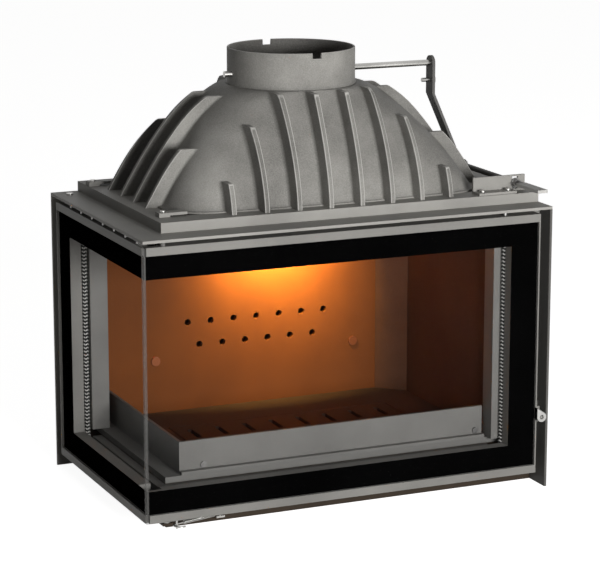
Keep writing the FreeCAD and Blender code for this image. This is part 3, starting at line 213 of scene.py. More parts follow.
guard_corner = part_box("log_guard")[0]
hearth_ledge = sprayed("hearth with painted ledge", HEARTH_BROWN, HEARTH_SHADE, **RAW_CASTING)
ledge_tree = hearth_ledge.node_tree
behind_guard = reckon(ledge_tree, "MULTIPLY", past(ledge_tree, "X", guard_corner.x),
                      past(ledge_tree, "Y", guard_corner.y))
recolour(hearth_ledge, behind_guard, first=LEDGE_GREY)
coat_nodes(hearth_ledge, "hearth_plate")


# Log guard, sill lip, posts and air guides: bent sheet steel with a darker, smoother coat of grey paint.
# On the sill lip, posts and air guides that darker grey is painted shade. The guard stands on the hearth
# with two screws, and the air guides hang under the top plate.
guard_and_shade_paint = sprayed("guard paint", (0.225, 0.22, 0.208), (0.17, 0.166, 0.157),
                      grains_per_metre=900, bump=0.00004, smooth=0.36, rough=0.5)
# painted shade: the sill lip, posts and air guides take the guard's darker grey
coat_nodes(guard_and_shade_paint, "log_guard", "front_sill", "left_rear_post", "right_front_post", "air_wash_front",
           "air_wash_side")


# Screws, pins, shafts and the ends of the spring: zinc-plated steel, bright with a faint cloudiness.
# The guard's screws, the rivets, the rod's stop collar and the stop pin are blued, and so darker.
zinc = sprayed("zinc plate", (0.47, 0.46, 0.44), (0.34, 0.335, 0.32), grains_per_metre=700, bump=0.00003,
               smooth=0.22, rough=0.4, metallic=1.0, gloss=0.5, edge=0.0004)
coat_nodes(zinc, "bracket_screws", "dome_clamp_screws", "top_plate_screw", "damper_flap_bolts", "arm_screw",
           "arm_pin", "hinge_washer", "door_spring_pin", "latch_spindle", "latch_tongue", "latch_keeper",
           "spring_anchor", "spring_eye", "spring_hook", "damper_shaft")
blued = sprayed("blued steel", (0.26, 0.255, 0.25), (0.17, 0.167, 0.163), grains_per_metre=700, bump=0.00003,
                smooth=0.26, rough=0.42, metallic=1.0, gloss=0.5, edge=0.0004)
coat_nodes(blued, "log_guard_screws", "air_wash_rivets", "rod_stop_collar", "door_stop_pin")


# Rope seals: white glass-fibre rope, braided from eight strands, bent round each window between
# its flange and its seat. It is glued along its length and ends near the glazed corner.
def closed_grid(points, wrap_rows, wrap_columns):
    """Faces of a grid of points (rows, columns, 3); a wrapped direction joins its end to its start."""
    rows, columns = points.shape[:2]
    index = np.arange(rows * columns).reshape(rows, columns)
    if wrap_rows:
        index = np.vstack([index, index[:1]])
    if wrap_columns:
        index = np.hstack([index, index[:, :1]])
    quads = np.stack([index[:-1, :-1], index[:-1, 1:], index[1:, 1:], index[1:, :-1]], -1).reshape(-1, 4)
    return points.reshape(-1, 3), quads


def outward(points, quads):
    """Quads turned so that the volume they close, the sum of their corner products, is positive."""
    a, b, c, d = (points[quads[:, k]] for k in range(4))
    volume = np.einsum("ij,ij->", a, np.cross(b, c)) + np.einsum("ij,ij->", a, np.cross(c, d))
    return quads if volume > 0 else quads[:, ::-1]


def capped_tube(grid):
    """Points and outward faces of a tube of rings, with one face over its first ring and one over its last.

    A cap goes round its ring against the way of the quads beside it."""
    points, quads = closed_grid(grid, False, True)
    quads = outward(points, quads)
    first = np.arange(grid.shape[1])
    last = len(points) - len(first) + first
    caps = [first[::-1], last] if quads[0][1] == 1 else [first, last[::-1]]
    return points, list(quads) + caps


def joined(parts):
    """One mesh from parts of (points, faces, painted light): faces count on from the points of the parts
    before.
    """
    starts = np.cumsum([0] + [len(points) for points, _, _ in parts])
    faces = [face + start for (_, own, _), start in zip(parts, starts) for face in own]
    return np.concatenate([part[0] for part in parts]), faces, np.concatenate([part[2] for part in parts])


def make_piece(name, points, faces, material, body, stands_for=(), crease=35, painted_light=None):
    """New piece in metres that rides on a body, smooth except over edges sharper than the crease.

    Painted light is an amount of painted light or shade at each point, read by the material."""
    mesh = bpy.data.meshes.new(name)
    mesh.from_pydata(points.tolist(), [], [list(map(int, face)) for face in faces])
    mesh.polygons.foreach_set("use_smooth", np.ones(len(mesh.polygons), bool))
    mesh.set_sharp_from_angle(angle=math.radians(crease))
    mesh.materials.append(material)
    if painted_light is not None:
        mesh.attributes.new("painted_light", "FLOAT", "POINT").data.foreach_set("value", painted_light)
    mesh.update()
    piece = bpy.data.objects.new(name, mesh)
    bpy.context.scene.collection.objects.link(piece)
    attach(piece, body)
    if stands_for:
        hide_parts(*stands_for)


def painted_light_amount(tree):
    """The painted light or shade that a piece carries at its points."""
    node = tree.nodes.new("ShaderNodeAttribute")
    node.attribute_name = "painted_light"
    return node.outputs["Fac"]


def unit(vectors):
    """Vectors of length 1 in the same directions."""
    return vectors / np.linalg.norm(vectors, axis=-1, keepdims=True)


def route_line(corners, ease):
    """Points along a smooth spline through straight runs, with helper points beside each corner."""
    corners = np.asarray(corners, float)
    stops = [corners[0]]
    for before, corner, after in zip(corners, corners[1:], corners[2:]):
        stops += [corner + unit(before - corner) * ease, corner, corner + unit(after - corner) * ease]
    stops.append(corners[-1])
    curve = bpy.data.curves.new("rope route", "CURVE")
    curve.dimensions = "3D"
    curve.resolution_u = 24
    spline = curve.splines.new("NURBS")
    spline.points.add(len(stops) - 1)
    for point, stop in zip(spline.points, stops):
        point.co = (*stop, 1)
    spline.order_u = 3
    spline.use_endpoint_u = True
    carrier = bpy.data.objects.new("rope route", curve)
    mesh = bpy.data.meshes.new_from_object(carrier)
    line = np.empty(len(mesh.vertices) * 3)
    mesh.vertices.foreach_get("co", line)
    bpy.data.meshes.remove(mesh)
    bpy.data.objects.remove(carrier)
    bpy.data.curves.remove(curve)
    return line.reshape(-1, 3)


def frames_along(line, step):
    """Even points along a line in one plane: distance, place, the plane's normal and the side direction."""
    lengths = np.concatenate([[0], np.cumsum(np.linalg.norm(np.diff(line, axis=0), axis=1))])
    even = np.linspace(0, lengths[-1], int(lengths[-1] / step))
    centre = np.stack([np.interp(even, lengths, line[:, k]) for k in range(3)], -1)
    tangent = unit(np.gradient(centre, axis=0))
    normal = unit(np.cross(line[1] - line[0], line[-1] - line[0]))
    normal = np.broadcast_to(normal, centre.shape)
    return even, centre, normal, np.cross(tangent, normal)


def tube(core, out, radius, sides):
    """Rings round a line: a cosine along the outward direction and a sine across it and the line."""
    across = np.cross(unit(np.gradient(core, axis=0)), out)
    ring = np.linspace(0, 2 * np.pi, sides, endpoint=False)[None, :, None]
    return core[:, None] + radius * (np.cos(ring) * out[:, None] + np.sin(ring) * across[:, None])


ROPE_RADIUS, ROPE_LOW, ROPE_HIGH, ROPE_BEND = 0.005, 0.062, 0.430, 0.03
STRANDS, STRAND_RADIUS, STRAND_SIDES = 8, 0.0013, 6
BRAID_PITCH, STEPS_A_TURN = 0.024, 16
STRAND_DEPTH, STRAND_SWING = 1.45, 0.45


def braided(line):
    """Strands that wind both ways round a line; each rides over and under by a cosine of its turn.

    A strand lies its depth under the rope's skin and swings about it, both in strand radii. Its painted
    light is each point's share of the rope's radius, which keeps the crests white and the hollows in painted
    shade."""
    along, centre, normal, side = frames_along(line, BRAID_PITCH / STEPS_A_TURN)
    strands = []
    for k in range(STRANDS):
        way = 1 if k % 2 else -1
        turn = way * (2 * np.pi * along / BRAID_PITCH) + 2 * np.pi * k / STRANDS
        swing = STRAND_SWING * np.cos(STRANDS / 2 * turn + np.pi * (k % 2))
        reach = ROPE_RADIUS - STRAND_RADIUS * (STRAND_DEPTH + swing)
        out = np.cos(turn)[:, None] * normal + np.sin(turn)[:, None] * side
        grid = tube(centre + out * reach[:, None], out, STRAND_RADIUS, STRAND_SIDES)
        painted_light = np.linalg.norm(grid - centre[:, None], axis=2).ravel() / ROPE_RADIUS
        strands.append((*capped_tube(grid), painted_light))
    return joined(strands)


# painted shade: the hollows between the strands are coloured near black, and only the crests stay white
HOLLOW_SHARE, CREST_SHARE = 0.8, 0.98
HOLLOW_SHADE_GREY = (0.03, 0.03, 0.029, 1)
rope_white = sprayed("glass-fibre rope", (0.84, 0.83, 0.80), (0.66, 0.65, 0.62), grains_per_metre=1500,
                     bump=0.0002, smooth=0.8, rough=0.95, gloss=0.1, edge=0)
rope_tree = rope_white.node_tree
recolour(rope_white, spread(rope_tree, painted_light_amount(rope_tree), HOLLOW_SHARE, CREST_SHARE), first=HOLLOW_SHADE_GREY)
door_low, door_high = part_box("door_rope_seal")
side_low, side_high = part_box("side_rope_seal")
seal_y = (door_low.y + door_high.y) / 2
seal_x = (side_low.x + side_high.x) / 2
door_route = [(door_low.x, seal_y, ROPE_LOW), (door_high.x - ROPE_RADIUS, seal_y, ROPE_LOW),
              (door_high.x - ROPE_RADIUS, seal_y, ROPE_HIGH), (door_low.x, seal_y, ROPE_HIGH)]
side_route = [(seal_x, side_low.y, ROPE_LOW), (seal_x, side_high.y - ROPE_RADIUS, ROPE_LOW),
              (seal_x, side_high.y - ROPE_RADIUS, ROPE_HIGH), (seal_x, side_low.y, ROPE_HIGH)]
for name, route in (("door_rope", door_route), ("side_rope", side_route)):
    points, faces, lit_crests = braided(route_line(route, ROPE_BEND))
    make_piece(name, points, faces, rope_white, "casing", (name + "_seal",), crease=60, painted_light=lit_crests)


# Left window: steel frame open towards the corner, with the pane in front of its flange and a corner trim.
# The pane is clear heat-resistant glass with a black enamel border fired on its inner face.
frame_paint = sprayed("window frame paint", (0.255, 0.248, 0.232), (0.195, 0.19, 0.178), **SHEET_COAT)
coat_nodes(frame_paint, "side_window_frame", "side_window_spacers")
PANE_BLACK, PANE_HAZE = (0.003, 0.003, 0.0035, 1), (0.006, 0.006, 0.006, 1)
CLEAREST, HAZIEST = 0.045, 0.06
clear_glass, pane_tree, pane_shader = new_material("clear pane", gloss=0.0)
pane_shader.inputs["Roughness"].default_value = 0.04
pane_place = pane_tree.nodes.new("ShaderNodeTexCoord").outputs["Object"]
haze = noise(pane_tree, pane_place, per_metre=3.0, detail=2)
pane_alpha = spread(pane_tree, haze, NOISE_LOW, NOISE_HIGH, CLEAREST, HAZIEST)
pane_colour = blend_colours(pane_tree, haze, PANE_BLACK, PANE_HAZE)
pane_tree.links.new(pane_alpha, pane_shader.inputs["Alpha"])
pane_tree.links.new(pane_colour, pane_shader.inputs["Base Color"])
coat_nodes(clear_glass, "side_glass", "door_glass")
trim = sprayed("corner trim", (0.22, 0.216, 0.208), (0.17, 0.167, 0.16),
               grains_per_metre=600, bump=0.00003, smooth=0.3, rough=0.45)
trim.node_tree.nodes["Principled BSDF"].inputs["Alpha"].default_value = 0.3
coat_nodes(trim, "corner_trim")
enamel = sprayed("black enamel", (0.002, 0.002, 0.002), (0.001, 0.001, 0.001),
                 grains_per_metre=300, bump=0.0, smooth=0.3, rough=0.4, gloss=0.0, edge=0)


def border_points(outer, inner, to_space, near, far):
    """Three-sided border, open towards the corner, as a thin plate between two depths."""
    (a0, b0), (a1, b1) = outer
    (c0, d0), (c1, d1) = inner
    outline = [(a0, b0), (a1, b0), (a1, b1), (a0, b1), (c0, d1), (c1, d1), (c1, d0), (c0, d0)]
    points = np.array([to_space(a, b, depth) for depth in (near, far) for a, b in outline])
    ring = np.arange(8)
    sides = np.stack([ring, np.roll(ring, -1), np.roll(ring, -1) + 8, ring + 8], -1)
    arms = np.array([(0, 1, 6, 7), (1, 2, 5, 6), (2, 3, 4, 5)])
    quads = np.vstack([arms[:, ::-1], arms + 8, sides])
    return points, outward(points, quads)


VIEW_LOW, VIEW_HIGH, VIEW_REAR, VIEW_RIGHT = 0.076, 0.407, 0.101, 0.274
ENAMEL_NEAR, ENAMEL_FAR = 0.00005, 0.00015
low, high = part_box("side_glass")
side_pane = ((low.y, low.z), (high.y, high.z))
side_view = ((low.y, VIEW_LOW), (VIEW_REAR, VIEW_HIGH))
points, quads = border_points(side_pane, side_view, lambda along, up, depth: (depth, along, up),
                              high.x + ENAMEL_NEAR, high.x + ENAMEL_FAR)
make_piece("side_enamel_border", points, quads, enamel, "casing")


# Door: steel frame with the pane held in its recess, hung on two dark pins at the glazed corner.
# Its pane has the same enamel border as the left window's, open towards the corner.
coat_nodes(frame_paint, "door_frame")
BAR_PAINT, BAR_SHADE = (0.17, 0.165, 0.158), (0.11, 0.107, 0.102)
BAR_COAT = {"grains_per_metre": 700, "bump": 0.00006, "smooth": 0.38, "rough": 0.52}
dark_steel = sprayed("dark bar", BAR_PAINT, BAR_SHADE, **BAR_COAT)
coat_nodes(dark_steel, "door_hinge_pins")
low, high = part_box("door_glass")
door_pane = ((low.x, low.z), (high.x, high.z))
door_view = ((low.x, VIEW_LOW), (VIEW_RIGHT, VIEW_HIGH))
points, quads = border_points(door_pane, door_view, lambda along, up, depth: (along, depth, up),
                              high.y + ENAMEL_NEAR, high.y + ENAMEL_FAR)
make_piece("door_enamel_border", points, quads, enamel, "door")


# Latch nub: polished drop-shaped plate on the latch spindle, with a round socket for the loose handle.
# Its edges are rounded, more in front than behind, and it turns with the spindle.
polished = sprayed("polished nub", (0.52, 0.515, 0.50), (0.36, 0.355, 0.345), grains_per_metre=500,
                   bump=0.00002, smooth=0.12, rough=0.24, metallic=1.0, gloss=0.5, edge=0)
NUB_RADIUS, TIP_RADIUS, SOCKET, SOCKET_DEPTH, NUB_POINTS = 0.0085, 0.0015, 0.0035, 0.008, 96
low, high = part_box("latch_nub")
thick = high.y - low.y
axis = np.array([(low.x + high.x) / 2, low.z + NUB_RADIUS])
tip = np.array([TIP_RADIUS - NUB_RADIUS, high.z - axis[1] - TIP_RADIUS])
angle = np.linspace(0, 2 * np.pi, NUB_POINTS, endpoint=False)
lean = np.arctan2(tip[1], tip[0])
open_by = np.arccos((NUB_RADIUS - TIP_RADIUS) / np.linalg.norm(tip))
at_tip = np.abs((angle - lean + np.pi) % (2 * np.pi) - np.pi) < open_by
way = np.stack([np.cos(angle), np.sin(angle)], -1)


def at_depth(flat, depth):
    """Points of the nub's face at a depth behind its front."""
    return np.stack([flat[:, 0], np.full(len(flat), low.y + depth), flat[:, 1]], -1)


def nub_row(inset, depth):
    """Outline drawn in by an inset: directions near the tip lie on its small circle, others on the boss."""
    reach = np.where(at_tip, TIP_RADIUS, NUB_RADIUS)[:, None] - inset
    return at_depth(axis + way * reach + np.where(at_tip[:, None], tip, 0), depth)


# radius and depth of the socket's rings, then inset and depth of the rings over the two edges
socket_rows = [(SOCKET, SOCKET_DEPTH), (SOCKET, 0.0005), (SOCKET + 0.0005, 0)]
front_edge = [(0.0014, 0), (0.0008, 0.0002), (0.0003, 0.0007), (0, 0.0016)]
rear_edge = [(0, thick - 0.0005), (0.0005, thick)]
grid = np.array([at_depth(axis + way * radius, depth) for radius, depth in socket_rows]
                + [nub_row(inset, depth) for inset, depth in front_edge + rear_edge])
points, faces = capped_tube(grid)
make_piece("latch_nub_drop", points, faces, polished, "latch", ("latch_nub",))


# Door spring: a close coil of round zinc-plated wire on the eye's plug, hooked to the pin under the door.
# The eye is pinned to the base tray, and the coil points from there to the door's pin.
COIL_RADIUS, WIRE_RADIUS, COIL_PITCH, COIL_START = 0.0024, 0.0006, 0.0023, 0.009
COIL_TURNS, RINGS_A_TURN, WIRE_SIDES = 26, 20, 8
EYE_PIN = np.array([-0.217, -0.215, 0.014])
COIL_HEADING = -2.880611
turn = np.linspace(0, 2 * np.pi * COIL_TURNS, COIL_TURNS * RINGS_A_TURN + 1)
out = np.stack([np.zeros_like(turn), np.cos(turn), np.sin(turn)], -1)
helix = COIL_RADIUS * out
helix[:, 0] = COIL_START + COIL_PITCH * turn / (2 * np.pi)
heading_cos, heading_sin = math.cos(COIL_HEADING), math.sin(COIL_HEADING)
spin = np.array([[heading_cos, -heading_sin, 0], [heading_sin, heading_cos, 0], [0, 0, 1]])
points, faces = capped_tube(tube(helix, out, WIRE_RADIUS, WIRE_SIDES) @ spin.T + EYE_PIN)
make_piece("door_spring_coil", points, faces, zinc, "door_spring", ("spring_coil",))


# Smoke dome: one iron casting with straight ends, bowed long sides and a round crown, stiffened by
# upright ribs in front and behind and by fins on both ends. It stands on the seat frame with a thin
# foot, and a painted highlight lightens its paint along the edges of the ribs.
DOME_LOW, DOME_HIGH = np.array([-0.262, -0.178]), np.array([0.272, 0.166])
SEAT, DOME_RISE, CROWN, THROAT, WALL = 0.4835, 0.172, 0.112, 0.097, 0.007
FOOT_CORNER, LEAST_STRAIGHT, SHY_OF_EDGE = 0.065, 0.003, 0.0005
END_POWER, SIDE_POWER, CORNER_POWER = 0.65, 1.6, 4
CROWN_BOW, FOOT_BOW = 1.25, 6
END_STEPS, CORNER_STEPS, SIDE_STEPS = 12, 22, 34


def dome_measures(rise, grow=0.0):
    """Measures of the dome's outline at a share of its height, moved out by an amount.

    The half sizes shrink to the crown's radius by powers of the height, and the corner grows to it.
    The long side is an arc whose radius, the bow, is a multiple of the half length. Across and along
    place the corner's centre, and apart is how far along Y the bow's centre lies from it."""
    rise = np.asarray(rise, float)
    half = (DOME_HIGH - DOME_LOW) / 2 - CROWN
    half_x = CROWN + half[0] * (1 - rise) ** END_POWER + grow
    half_y = CROWN + half[1] * (1 - rise ** SIDE_POWER) + grow
    corner = FOOT_CORNER + (CROWN - FOOT_CORNER) * rise ** CORNER_POWER + grow
    corner = np.minimum(corner, np.minimum(half_x, half_y) - LEAST_STRAIGHT)
    bow = half_x * (CROWN_BOW + FOOT_BOW * (1 - rise) ** 2)
    across = half_x - corner
    apart = np.sqrt((bow - corner) ** 2 - across ** 2)
    along = half_y - bow + apart
    middle = (DOME_HIGH + DOME_LOW) / 2 * (1 - rise)[..., None]
    return half_x, half_y, corner, bow, across, apart, along, middle


def dome_ring(rise, grow=0.0):
    """Outline at one height: straight end, corner arc and bowed side, mirrored to all four quarters."""
    half_x, half_y, corner, bow, across, apart, along, middle = dome_measures(rise, grow)
    lean = np.arctan2(apart, across)
    angle = np.linspace(0, 1, CORNER_STEPS) * lean
    end = np.stack([np.full(END_STEPS, half_x), np.linspace(0, along, END_STEPS, endpoint=False)], -1)
    turn = np.stack([across + corner * np.cos(angle), along + corner * np.sin(angle)], -1)
    sweep = np.linspace(lean, np.pi / 2, SIDE_STEPS)[1:]
    side = np.stack([bow * np.cos(sweep), half_y - bow + bow * np.sin(sweep)], -1)
    quarter = np.concatenate([end, turn, side])
    left = (quarter * (-1, 1))[::-1][1:]
    upper = np.concatenate([quarter, left])
    lower = (upper * (1, -1))[::-1][1:-1]
    return np.concatenate([upper, lower]) + middle


def at_height(ring, height):
    """Outline points lifted to a height above the seat."""
    return np.concatenate([ring, np.full((len(ring), 1), SEAT + height)], 1)


# rows of the foot: share of the height whose outline it follows, how far it stands out, and its own height
foot_rows = [(0.0, 0.005, 0), (0.0, 0.005, 0.0019), (0.0, 0.0044, 0.0025), (0.015, 0.0018, 0.0026),
             (0.025, 0.0005, 0.0043)]
# shares of the height at the rows over the foot, and at those of the inner wall from the top down
outer_rises = np.linspace(0.035, 1, 62) ** 0.94
inner_rises = np.linspace(0.955, 0, 24)
THROAT_ROUND, ROUND_SHARE = 0.001, 0.1
crown_ring = dome_ring(1.0)
throat_ring = unit(crown_ring) * THROAT
rows = [at_height(dome_ring(rise, grow), height) for rise, grow, height in foot_rows]
rows += [at_height(dome_ring(rise), rise * DOME_RISE) for rise in outer_rises]
rows += [at_height(throat_ring + (crown_ring - throat_ring) * ROUND_SHARE, DOME_RISE)]
rows += [at_height(throat_ring, DOME_RISE - drop) for drop in (THROAT_ROUND, WALL)]
rows += [at_height(dome_ring(rise, -WALL), rise * DOME_RISE) for rise in inner_rises]
shell_points, quads = closed_grid(np.array(rows), True, True)
shell = (shell_points, list(outward(shell_points, quads)), np.zeros(len(shell_points)))


def front_reach(x, rise):
    """How far the dome's front or back stands from its middle line at a place along X, and that line's Y."""
    half_x, half_y, corner, bow, across, apart, along, middle = dome_measures(rise)
    off = np.minimum(np.abs(x - middle[..., 0]), half_x - SHY_OF_EDGE)
    on_bow = half_y - bow + np.sqrt(np.maximum(bow ** 2 - off ** 2, 0))
    on_corner = along + np.sqrt(np.maximum(corner ** 2 - np.maximum(off - across, 0) ** 2, 0))
    return np.where(off <= bow * np.cos(np.arctan2(apart, across)), on_bow, on_corner), middle[..., 1]


def end_reach(y, rise):
    """How far the dome's end stands from its middle line at a place along Y, and that line's X."""
    half_x, half_y, corner, _, across, _, along, middle = dome_measures(rise)
    off = np.minimum(np.abs(y - middle[..., 1]), half_y - SHY_OF_EDGE)
    on_corner = across + np.sqrt(np.maximum(corner ** 2 - np.maximum(off - along, 0) ** 2, 0))
    return np.where(off <= along, half_x, on_corner), middle[..., 0]


# left half of the profile across a rib, in millimetres: place beside its middle line, share of the rib's
# depth, and what is added; a hollow curve runs out into the wall and the outer edge is rounded
HALF_PROFILE = np.array([(-11, 0, -0.8), (-8.6, 0, 0.05), (-7.2, 0, 0.45), (-6, 0, 1.3), (-5.2, 0, 2.6),
                         (-4.7, 0, 5), (-4.1, 1, -1.9), (-3.7, 1, -0.8), (-3.1, 1, -0.15), (-1.6, 1, 0)])
RIB_ACROSS = np.concatenate([HALF_PROFILE[:, 0], -HALF_PROFILE[::-1, 0]]) / 1000
RIB_SHARE = np.concatenate([HALF_PROFILE[:, 1], HALF_PROFILE[::-1, 1]])
RIB_ADDED = np.concatenate([HALF_PROFILE[:, 2], HALF_PROFILE[::-1, 2]]) / 1000
# painted highlight: these columns of the profile, the rib's outer edges, and its last levels are coloured
# lighter
HIGHLIT_COLUMNS, HIGHLIT_LEVELS = [7, 8, 11, 12], 4
RIB_LEVELS, RIB_ROOT = 34, 0.004
# last levels of a rib: how far each lies under its top, and how far its face is drawn in
TOP_START = 0.0015
TOP_DROP, TOP_INSET = np.array([0.0008, 0.0003, 0]), np.array([0.0002, 0.0006, 0.0014])


def rib(place, top, depth, lean, reach, sign, on_end, limit=1.0):
    """Closed plate that follows the wall: each level is the wall's line plus the profile across the rib.

    Its place counts along X, or along Y on the dome's ends, and the sign says on which side it stands.
    Its depth grows by the lean over the dome's height, and its face stops at the limit."""
    heights = np.concatenate([np.linspace(0.0, top - TOP_START, RIB_LEVELS), top - TOP_DROP])
    inset = np.concatenate([np.zeros(RIB_LEVELS), TOP_INSET])
    rise = np.broadcast_to((heights / DOME_RISE)[:, None], (len(heights), len(RIB_ACROSS)))
    spot = np.broadcast_to(place + RIB_ACROSS, rise.shape)
    wall, middle = reach(spot, rise)
    out = wall + RIB_SHARE * (depth + lean * rise - inset[:, None]) + RIB_ADDED
    face = np.minimum(sign * out + middle, limit)
    root = sign * (wall[:, ::-1] - RIB_ROOT) + middle[:, ::-1]
    first = np.concatenate([spot, spot[:, ::-1]], 1)
    second = np.concatenate([face, root], 1)
    level = np.broadcast_to((SEAT + heights)[:, None], first.shape)
    painted_light = np.zeros(first.shape)
    painted_light[:, HIGHLIT_COLUMNS] = 1
    painted_light[-HIGHLIT_LEVELS:, HIGHLIT_COLUMNS[0]:HIGHLIT_COLUMNS[-1] + 1] = 1
    grid = np.stack([second, first, level] if on_end else [first, second, level], -1)
    return (*capped_tube(grid), painted_light.ravel())


RIB_TOPS = np.array([46, 125, 171, 171, 171, 171, 125, 46]) / 1000
FIN_TOPS = np.array([89, 161, 161, 111]) / 1000
RIB_DEPTH, RIB_LEAN, FIN_DEPTH, REAR_LIMIT = 0.027, 0.006, 0.025, 0.178
FIRST_RIB, LAST_RIB, FIRST_FIN, LAST_FIN = 0.0823, 0.0772, 0.091, 0.0805
rib_places = np.linspace(DOME_LOW[0] + FIRST_RIB, DOME_HIGH[0] - LAST_RIB, len(RIB_TOPS))
fin_places = np.linspace(DOME_LOW[1] + FIRST_FIN, DOME_HIGH[1] - LAST_FIN, len(FIN_TOPS))
plates = []
for x, top in zip(rib_places, RIB_TOPS):
    plates.append(rib(x, top, RIB_DEPTH, RIB_LEAN, front_reach, -1, False))
    plates.append(rib(x, top, RIB_DEPTH, RIB_LEAN, front_reach, 1, False, REAR_LIMIT))
for y, top in zip(fin_places, FIN_TOPS):
    plates += [rib(y, top, FIN_DEPTH, 0, end_reach, sign, True) for sign in (-1, 1)]
# painted highlight: the rib edges and the collar's rim are coloured a lighter grey
HIGHLIGHT_GREY = (0.66, 0.645, 0.61, 1)
HIGHLIGHT_STARTS, STRONGEST_HIGHLIGHT = 0.35, 0.75
casting = sprayed("cast dome paint", (0.345, 0.336, 0.313), (0.145, 0.14, 0.13),
                  grains_per_metre=480, bump=0.0007, smooth=0.42, rough=0.6, edge=0)
casting_tree = casting.node_tree
edge_highlight = spread(casting_tree, painted_light_amount(casting_tree), HIGHLIGHT_STARTS, 1.0, 0.0, STRONGEST_HIGHLIGHT)
recolour(casting, edge_highlight, second=HIGHLIGHT_GREY)
points, faces, painted_light = joined([shell] + plates)
make_piece("smoke_dome_casting", points, faces, casting, "casing", ("smoke_dome",),
           crease=40, painted_light=painted_light)


# Flue collar: cast ring on the crown, with a socket for the pipe and two notches in its rim.
# It is painted like the dome, with a painted highlight along the rim.
COLLAR_FOOT, COLLAR_RISE, RIM_RADIUS, COLLAR_POINTS = 0.6555, 0.058, 0.102, 240
NOTCH_DEPTH, NOTCH_HALF, NOTCH_SLOPE = 0.009, 0.0075, 0.0015
NOTCHES = (np.pi / 2, 3 * np.pi / 2)
RIM_ROUND, RIM_HIGHLIGHT = 0.0006, 0.8
# radius and height round the collar's section, in millimetres: foot, outer wall, rim, socket, inner shoulder
profile = np.array([(97, 0), (105.5, 0), (105.4, 1.6), (104.6, 2.6), (104, 5), (104, 9), (104, 30), (104, 45),
                    (104, 56.6), (103.6, 57.6), (102.8, 58), (101.2, 58), (100.4, 57.6), (100, 56.6),
                    (100, 45), (100, 28.4), (99.4, 28), (97.6, 28), (97, 27.4)]) / 1000
half_notch = NOTCH_HALF / RIM_RADIUS
notch_sides = [centre + side * (half_notch + step) for centre in NOTCHES for side in (-1, 1)
               for step in (-NOTCH_SLOPE, NOTCH_SLOPE)]
even_angles = np.linspace(0, 2 * np.pi, COLLAR_POINTS, endpoint=False)
angle = np.sort(np.concatenate([even_angles, notch_sides]))
in_notch = np.any([np.abs(angle - centre) < half_notch for centre in NOTCHES], axis=0)
radius = np.broadcast_to(profile[:, :1], (len(profile), len(angle)))
height = np.broadcast_to(profile[:, 1:], radius.shape)
height = np.where(in_notch & (height > COLLAR_RISE - NOTCH_DEPTH), height - NOTCH_DEPTH, height)
grid = np.stack([radius * np.cos(angle), radius * np.sin(angle), COLLAR_FOOT + height], -1)
points, quads = closed_grid(grid, True, True)
# painted highlight along the rim's rounded edge
rim = np.abs(profile[:, 1] - COLLAR_RISE) < RIM_ROUND
make_piece("flue_collar_casting", points, outward(points, quads), casting, "casing",
           ("flue_collar",), painted_light=np.repeat(np.where(rim, RIM_HIGHLIGHT, 0.0), len(angle)))


# Damper gear: arm on the shaft's end, pull rod with a flat handle, its bracket, and the clamps of the dome.
# Arm and rod are flat bar, painted dark; the rod is coloured light grey in front of the bracket as painted
# light on its handle. Bracket and clamps are bent from sheet and painted like the casing.
coat_nodes(dark_steel, "damper_arm")
HANDLE_LIGHT_GREY = (0.48, 0.47, 0.45, 1)
rod_with_lit_handle = sprayed("rod with lit handle", BAR_PAINT, BAR_SHADE, **BAR_COAT)
# painted light: the handle in front of the bracket is coloured light grey
recolour(rod_with_lit_handle, past(rod_with_lit_handle.node_tree, "Y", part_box("rod_bracket")[0].y), first=HANDLE_LIGHT_GREY)
coat_nodes(rod_with_lit_handle, "pull_rod")
coat_nodes(casing_paint, "rod_bracket", "dome_clamps")


# Floor, light and camera: a white floor that keeps the object's shadow, one large soft light in front,
# a weak fill from above and a small warm lamp over the fireback. The camera stands to the front left.
FLOOR_HALF, FLOOR_GLOW = 9, 0.93
floor_mesh = bpy.data.meshes.new("floor")
floor_mesh.from_pydata([(-FLOOR_HALF, -FLOOR_HALF, 0), (FLOOR_HALF, -FLOOR_HALF, 0),
                        (FLOOR_HALF, FLOOR_HALF, 0), (-FLOOR_HALF, FLOOR_HALF, 0)], [], [(0, 1, 2, 3)])
floor = bpy.data.objects.new("floor", floor_mesh)
bpy.context.scene.collection.objects.link(floor)
white, floor_tree, floor_shader = new_material("white floor", gloss=0.0)
floor_mesh.materials.append(white)
floor_shader.inputs["Base Color"].default_value = (0.86, 0.85, 0.83, 1)
floor_shader.inputs["Roughness"].default_value = 0.9
floor_shader.inputs["Emission Color"].default_value = (1, 1, 1, 1)


def seen_rays(tree):
    """1 for rays that show the background: from the camera, in gloss or through glass."""
    path = tree.nodes.new("ShaderNodeLightPath")
    seen = path.outputs["Is Camera Ray"]
    for label in ("Is Glossy Ray", "Is Transmission Ray"):
        seen = reckon(tree, "MAXIMUM", seen, path.outputs[label])
    return seen


floor_glow = reckon(floor_tree, "MULTIPLY", seen_rays(floor_tree), FLOOR_GLOW)
floor_tree.links.new(floor_glow, floor_shader.inputs["Emission Strength"])

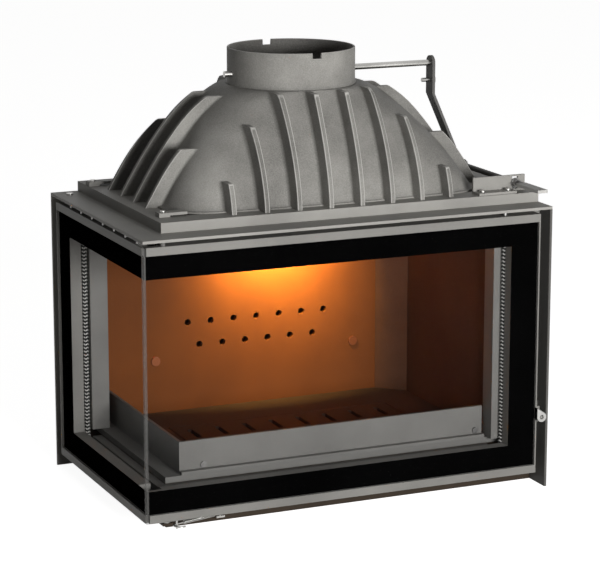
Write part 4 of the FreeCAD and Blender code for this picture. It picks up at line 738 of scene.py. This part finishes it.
BACKDROP_UNSEEN, BACKDROP_SEEN = 0.05, 1.0
world = bpy.data.worlds.new("studio")
bpy.context.scene.world = world
world.use_nodes = True
sky_tree = world.node_tree
backdrop = sky_tree.nodes["Background"]
backdrop.inputs["Color"].default_value = (1, 1, 1, 1)
sky_tree.links.new(spread(sky_tree, seen_rays(sky_tree), 0, 1, BACKDROP_UNSEEN, BACKDROP_SEEN),
                   backdrop.inputs["Strength"])


def area_lamp(name, place, width, height, power):
    """Rectangular lamp at a place, unturned, with the object that carries it."""
    lamp = bpy.data.lights.new(name, "AREA")
    lamp.shape = "RECTANGLE"
    lamp.size, lamp.size_y = width, height
    lamp.energy = power
    carrier = bpy.data.objects.new(name, lamp)
    carrier.location = place
    bpy.context.scene.collection.objects.link(carrier)
    return lamp, carrier


def point_along(carrier, direction):
    """Turn a lamp or camera so that it looks along a direction, upright."""
    carrier.rotation_mode = "QUATERNION"
    carrier.rotation_quaternion = direction.to_track_quat("-Z", "Y")


front_box = area_lamp("front box", (0.1, -3.4, 0.78), width=1.3, height=0.8, power=110)[1]
point_along(front_box, Vector((0, 0, 0.45)) - front_box.location)
top_fill = area_lamp("top fill", (0.6, 0.2, 3.2), width=2.5, height=2.5, power=4)[1]
point_along(top_fill, Vector((0, 0, 0.4)) - top_fill.location)
ember, ember_carrier = area_lamp("ember", (0.034, 0.062, 0.412), width=0.08, height=0.02, power=3.3)
ember.spread = math.radians(120)
ember.color = (1.0, 0.66, 0.16)
ember_carrier.rotation_euler = (math.radians(64), 0, 0)

lens = bpy.data.cameras.new("camera")
lens.lens = 145.27
lens.clip_end = 50
camera = bpy.data.objects.new("camera", lens)
camera.location = (-1.5596, -3.5817, 1.1949)
yaw, pitch = 0.41443, 0.22087
sight = Vector((math.sin(yaw) * math.cos(pitch), math.cos(yaw) * math.cos(pitch), -math.sin(pitch)))
point_along(camera, sight)
bpy.context.scene.collection.objects.link(camera)
bpy.context.scene.camera = camera
bpy.context.scene.view_settings.view_transform = "Standard"
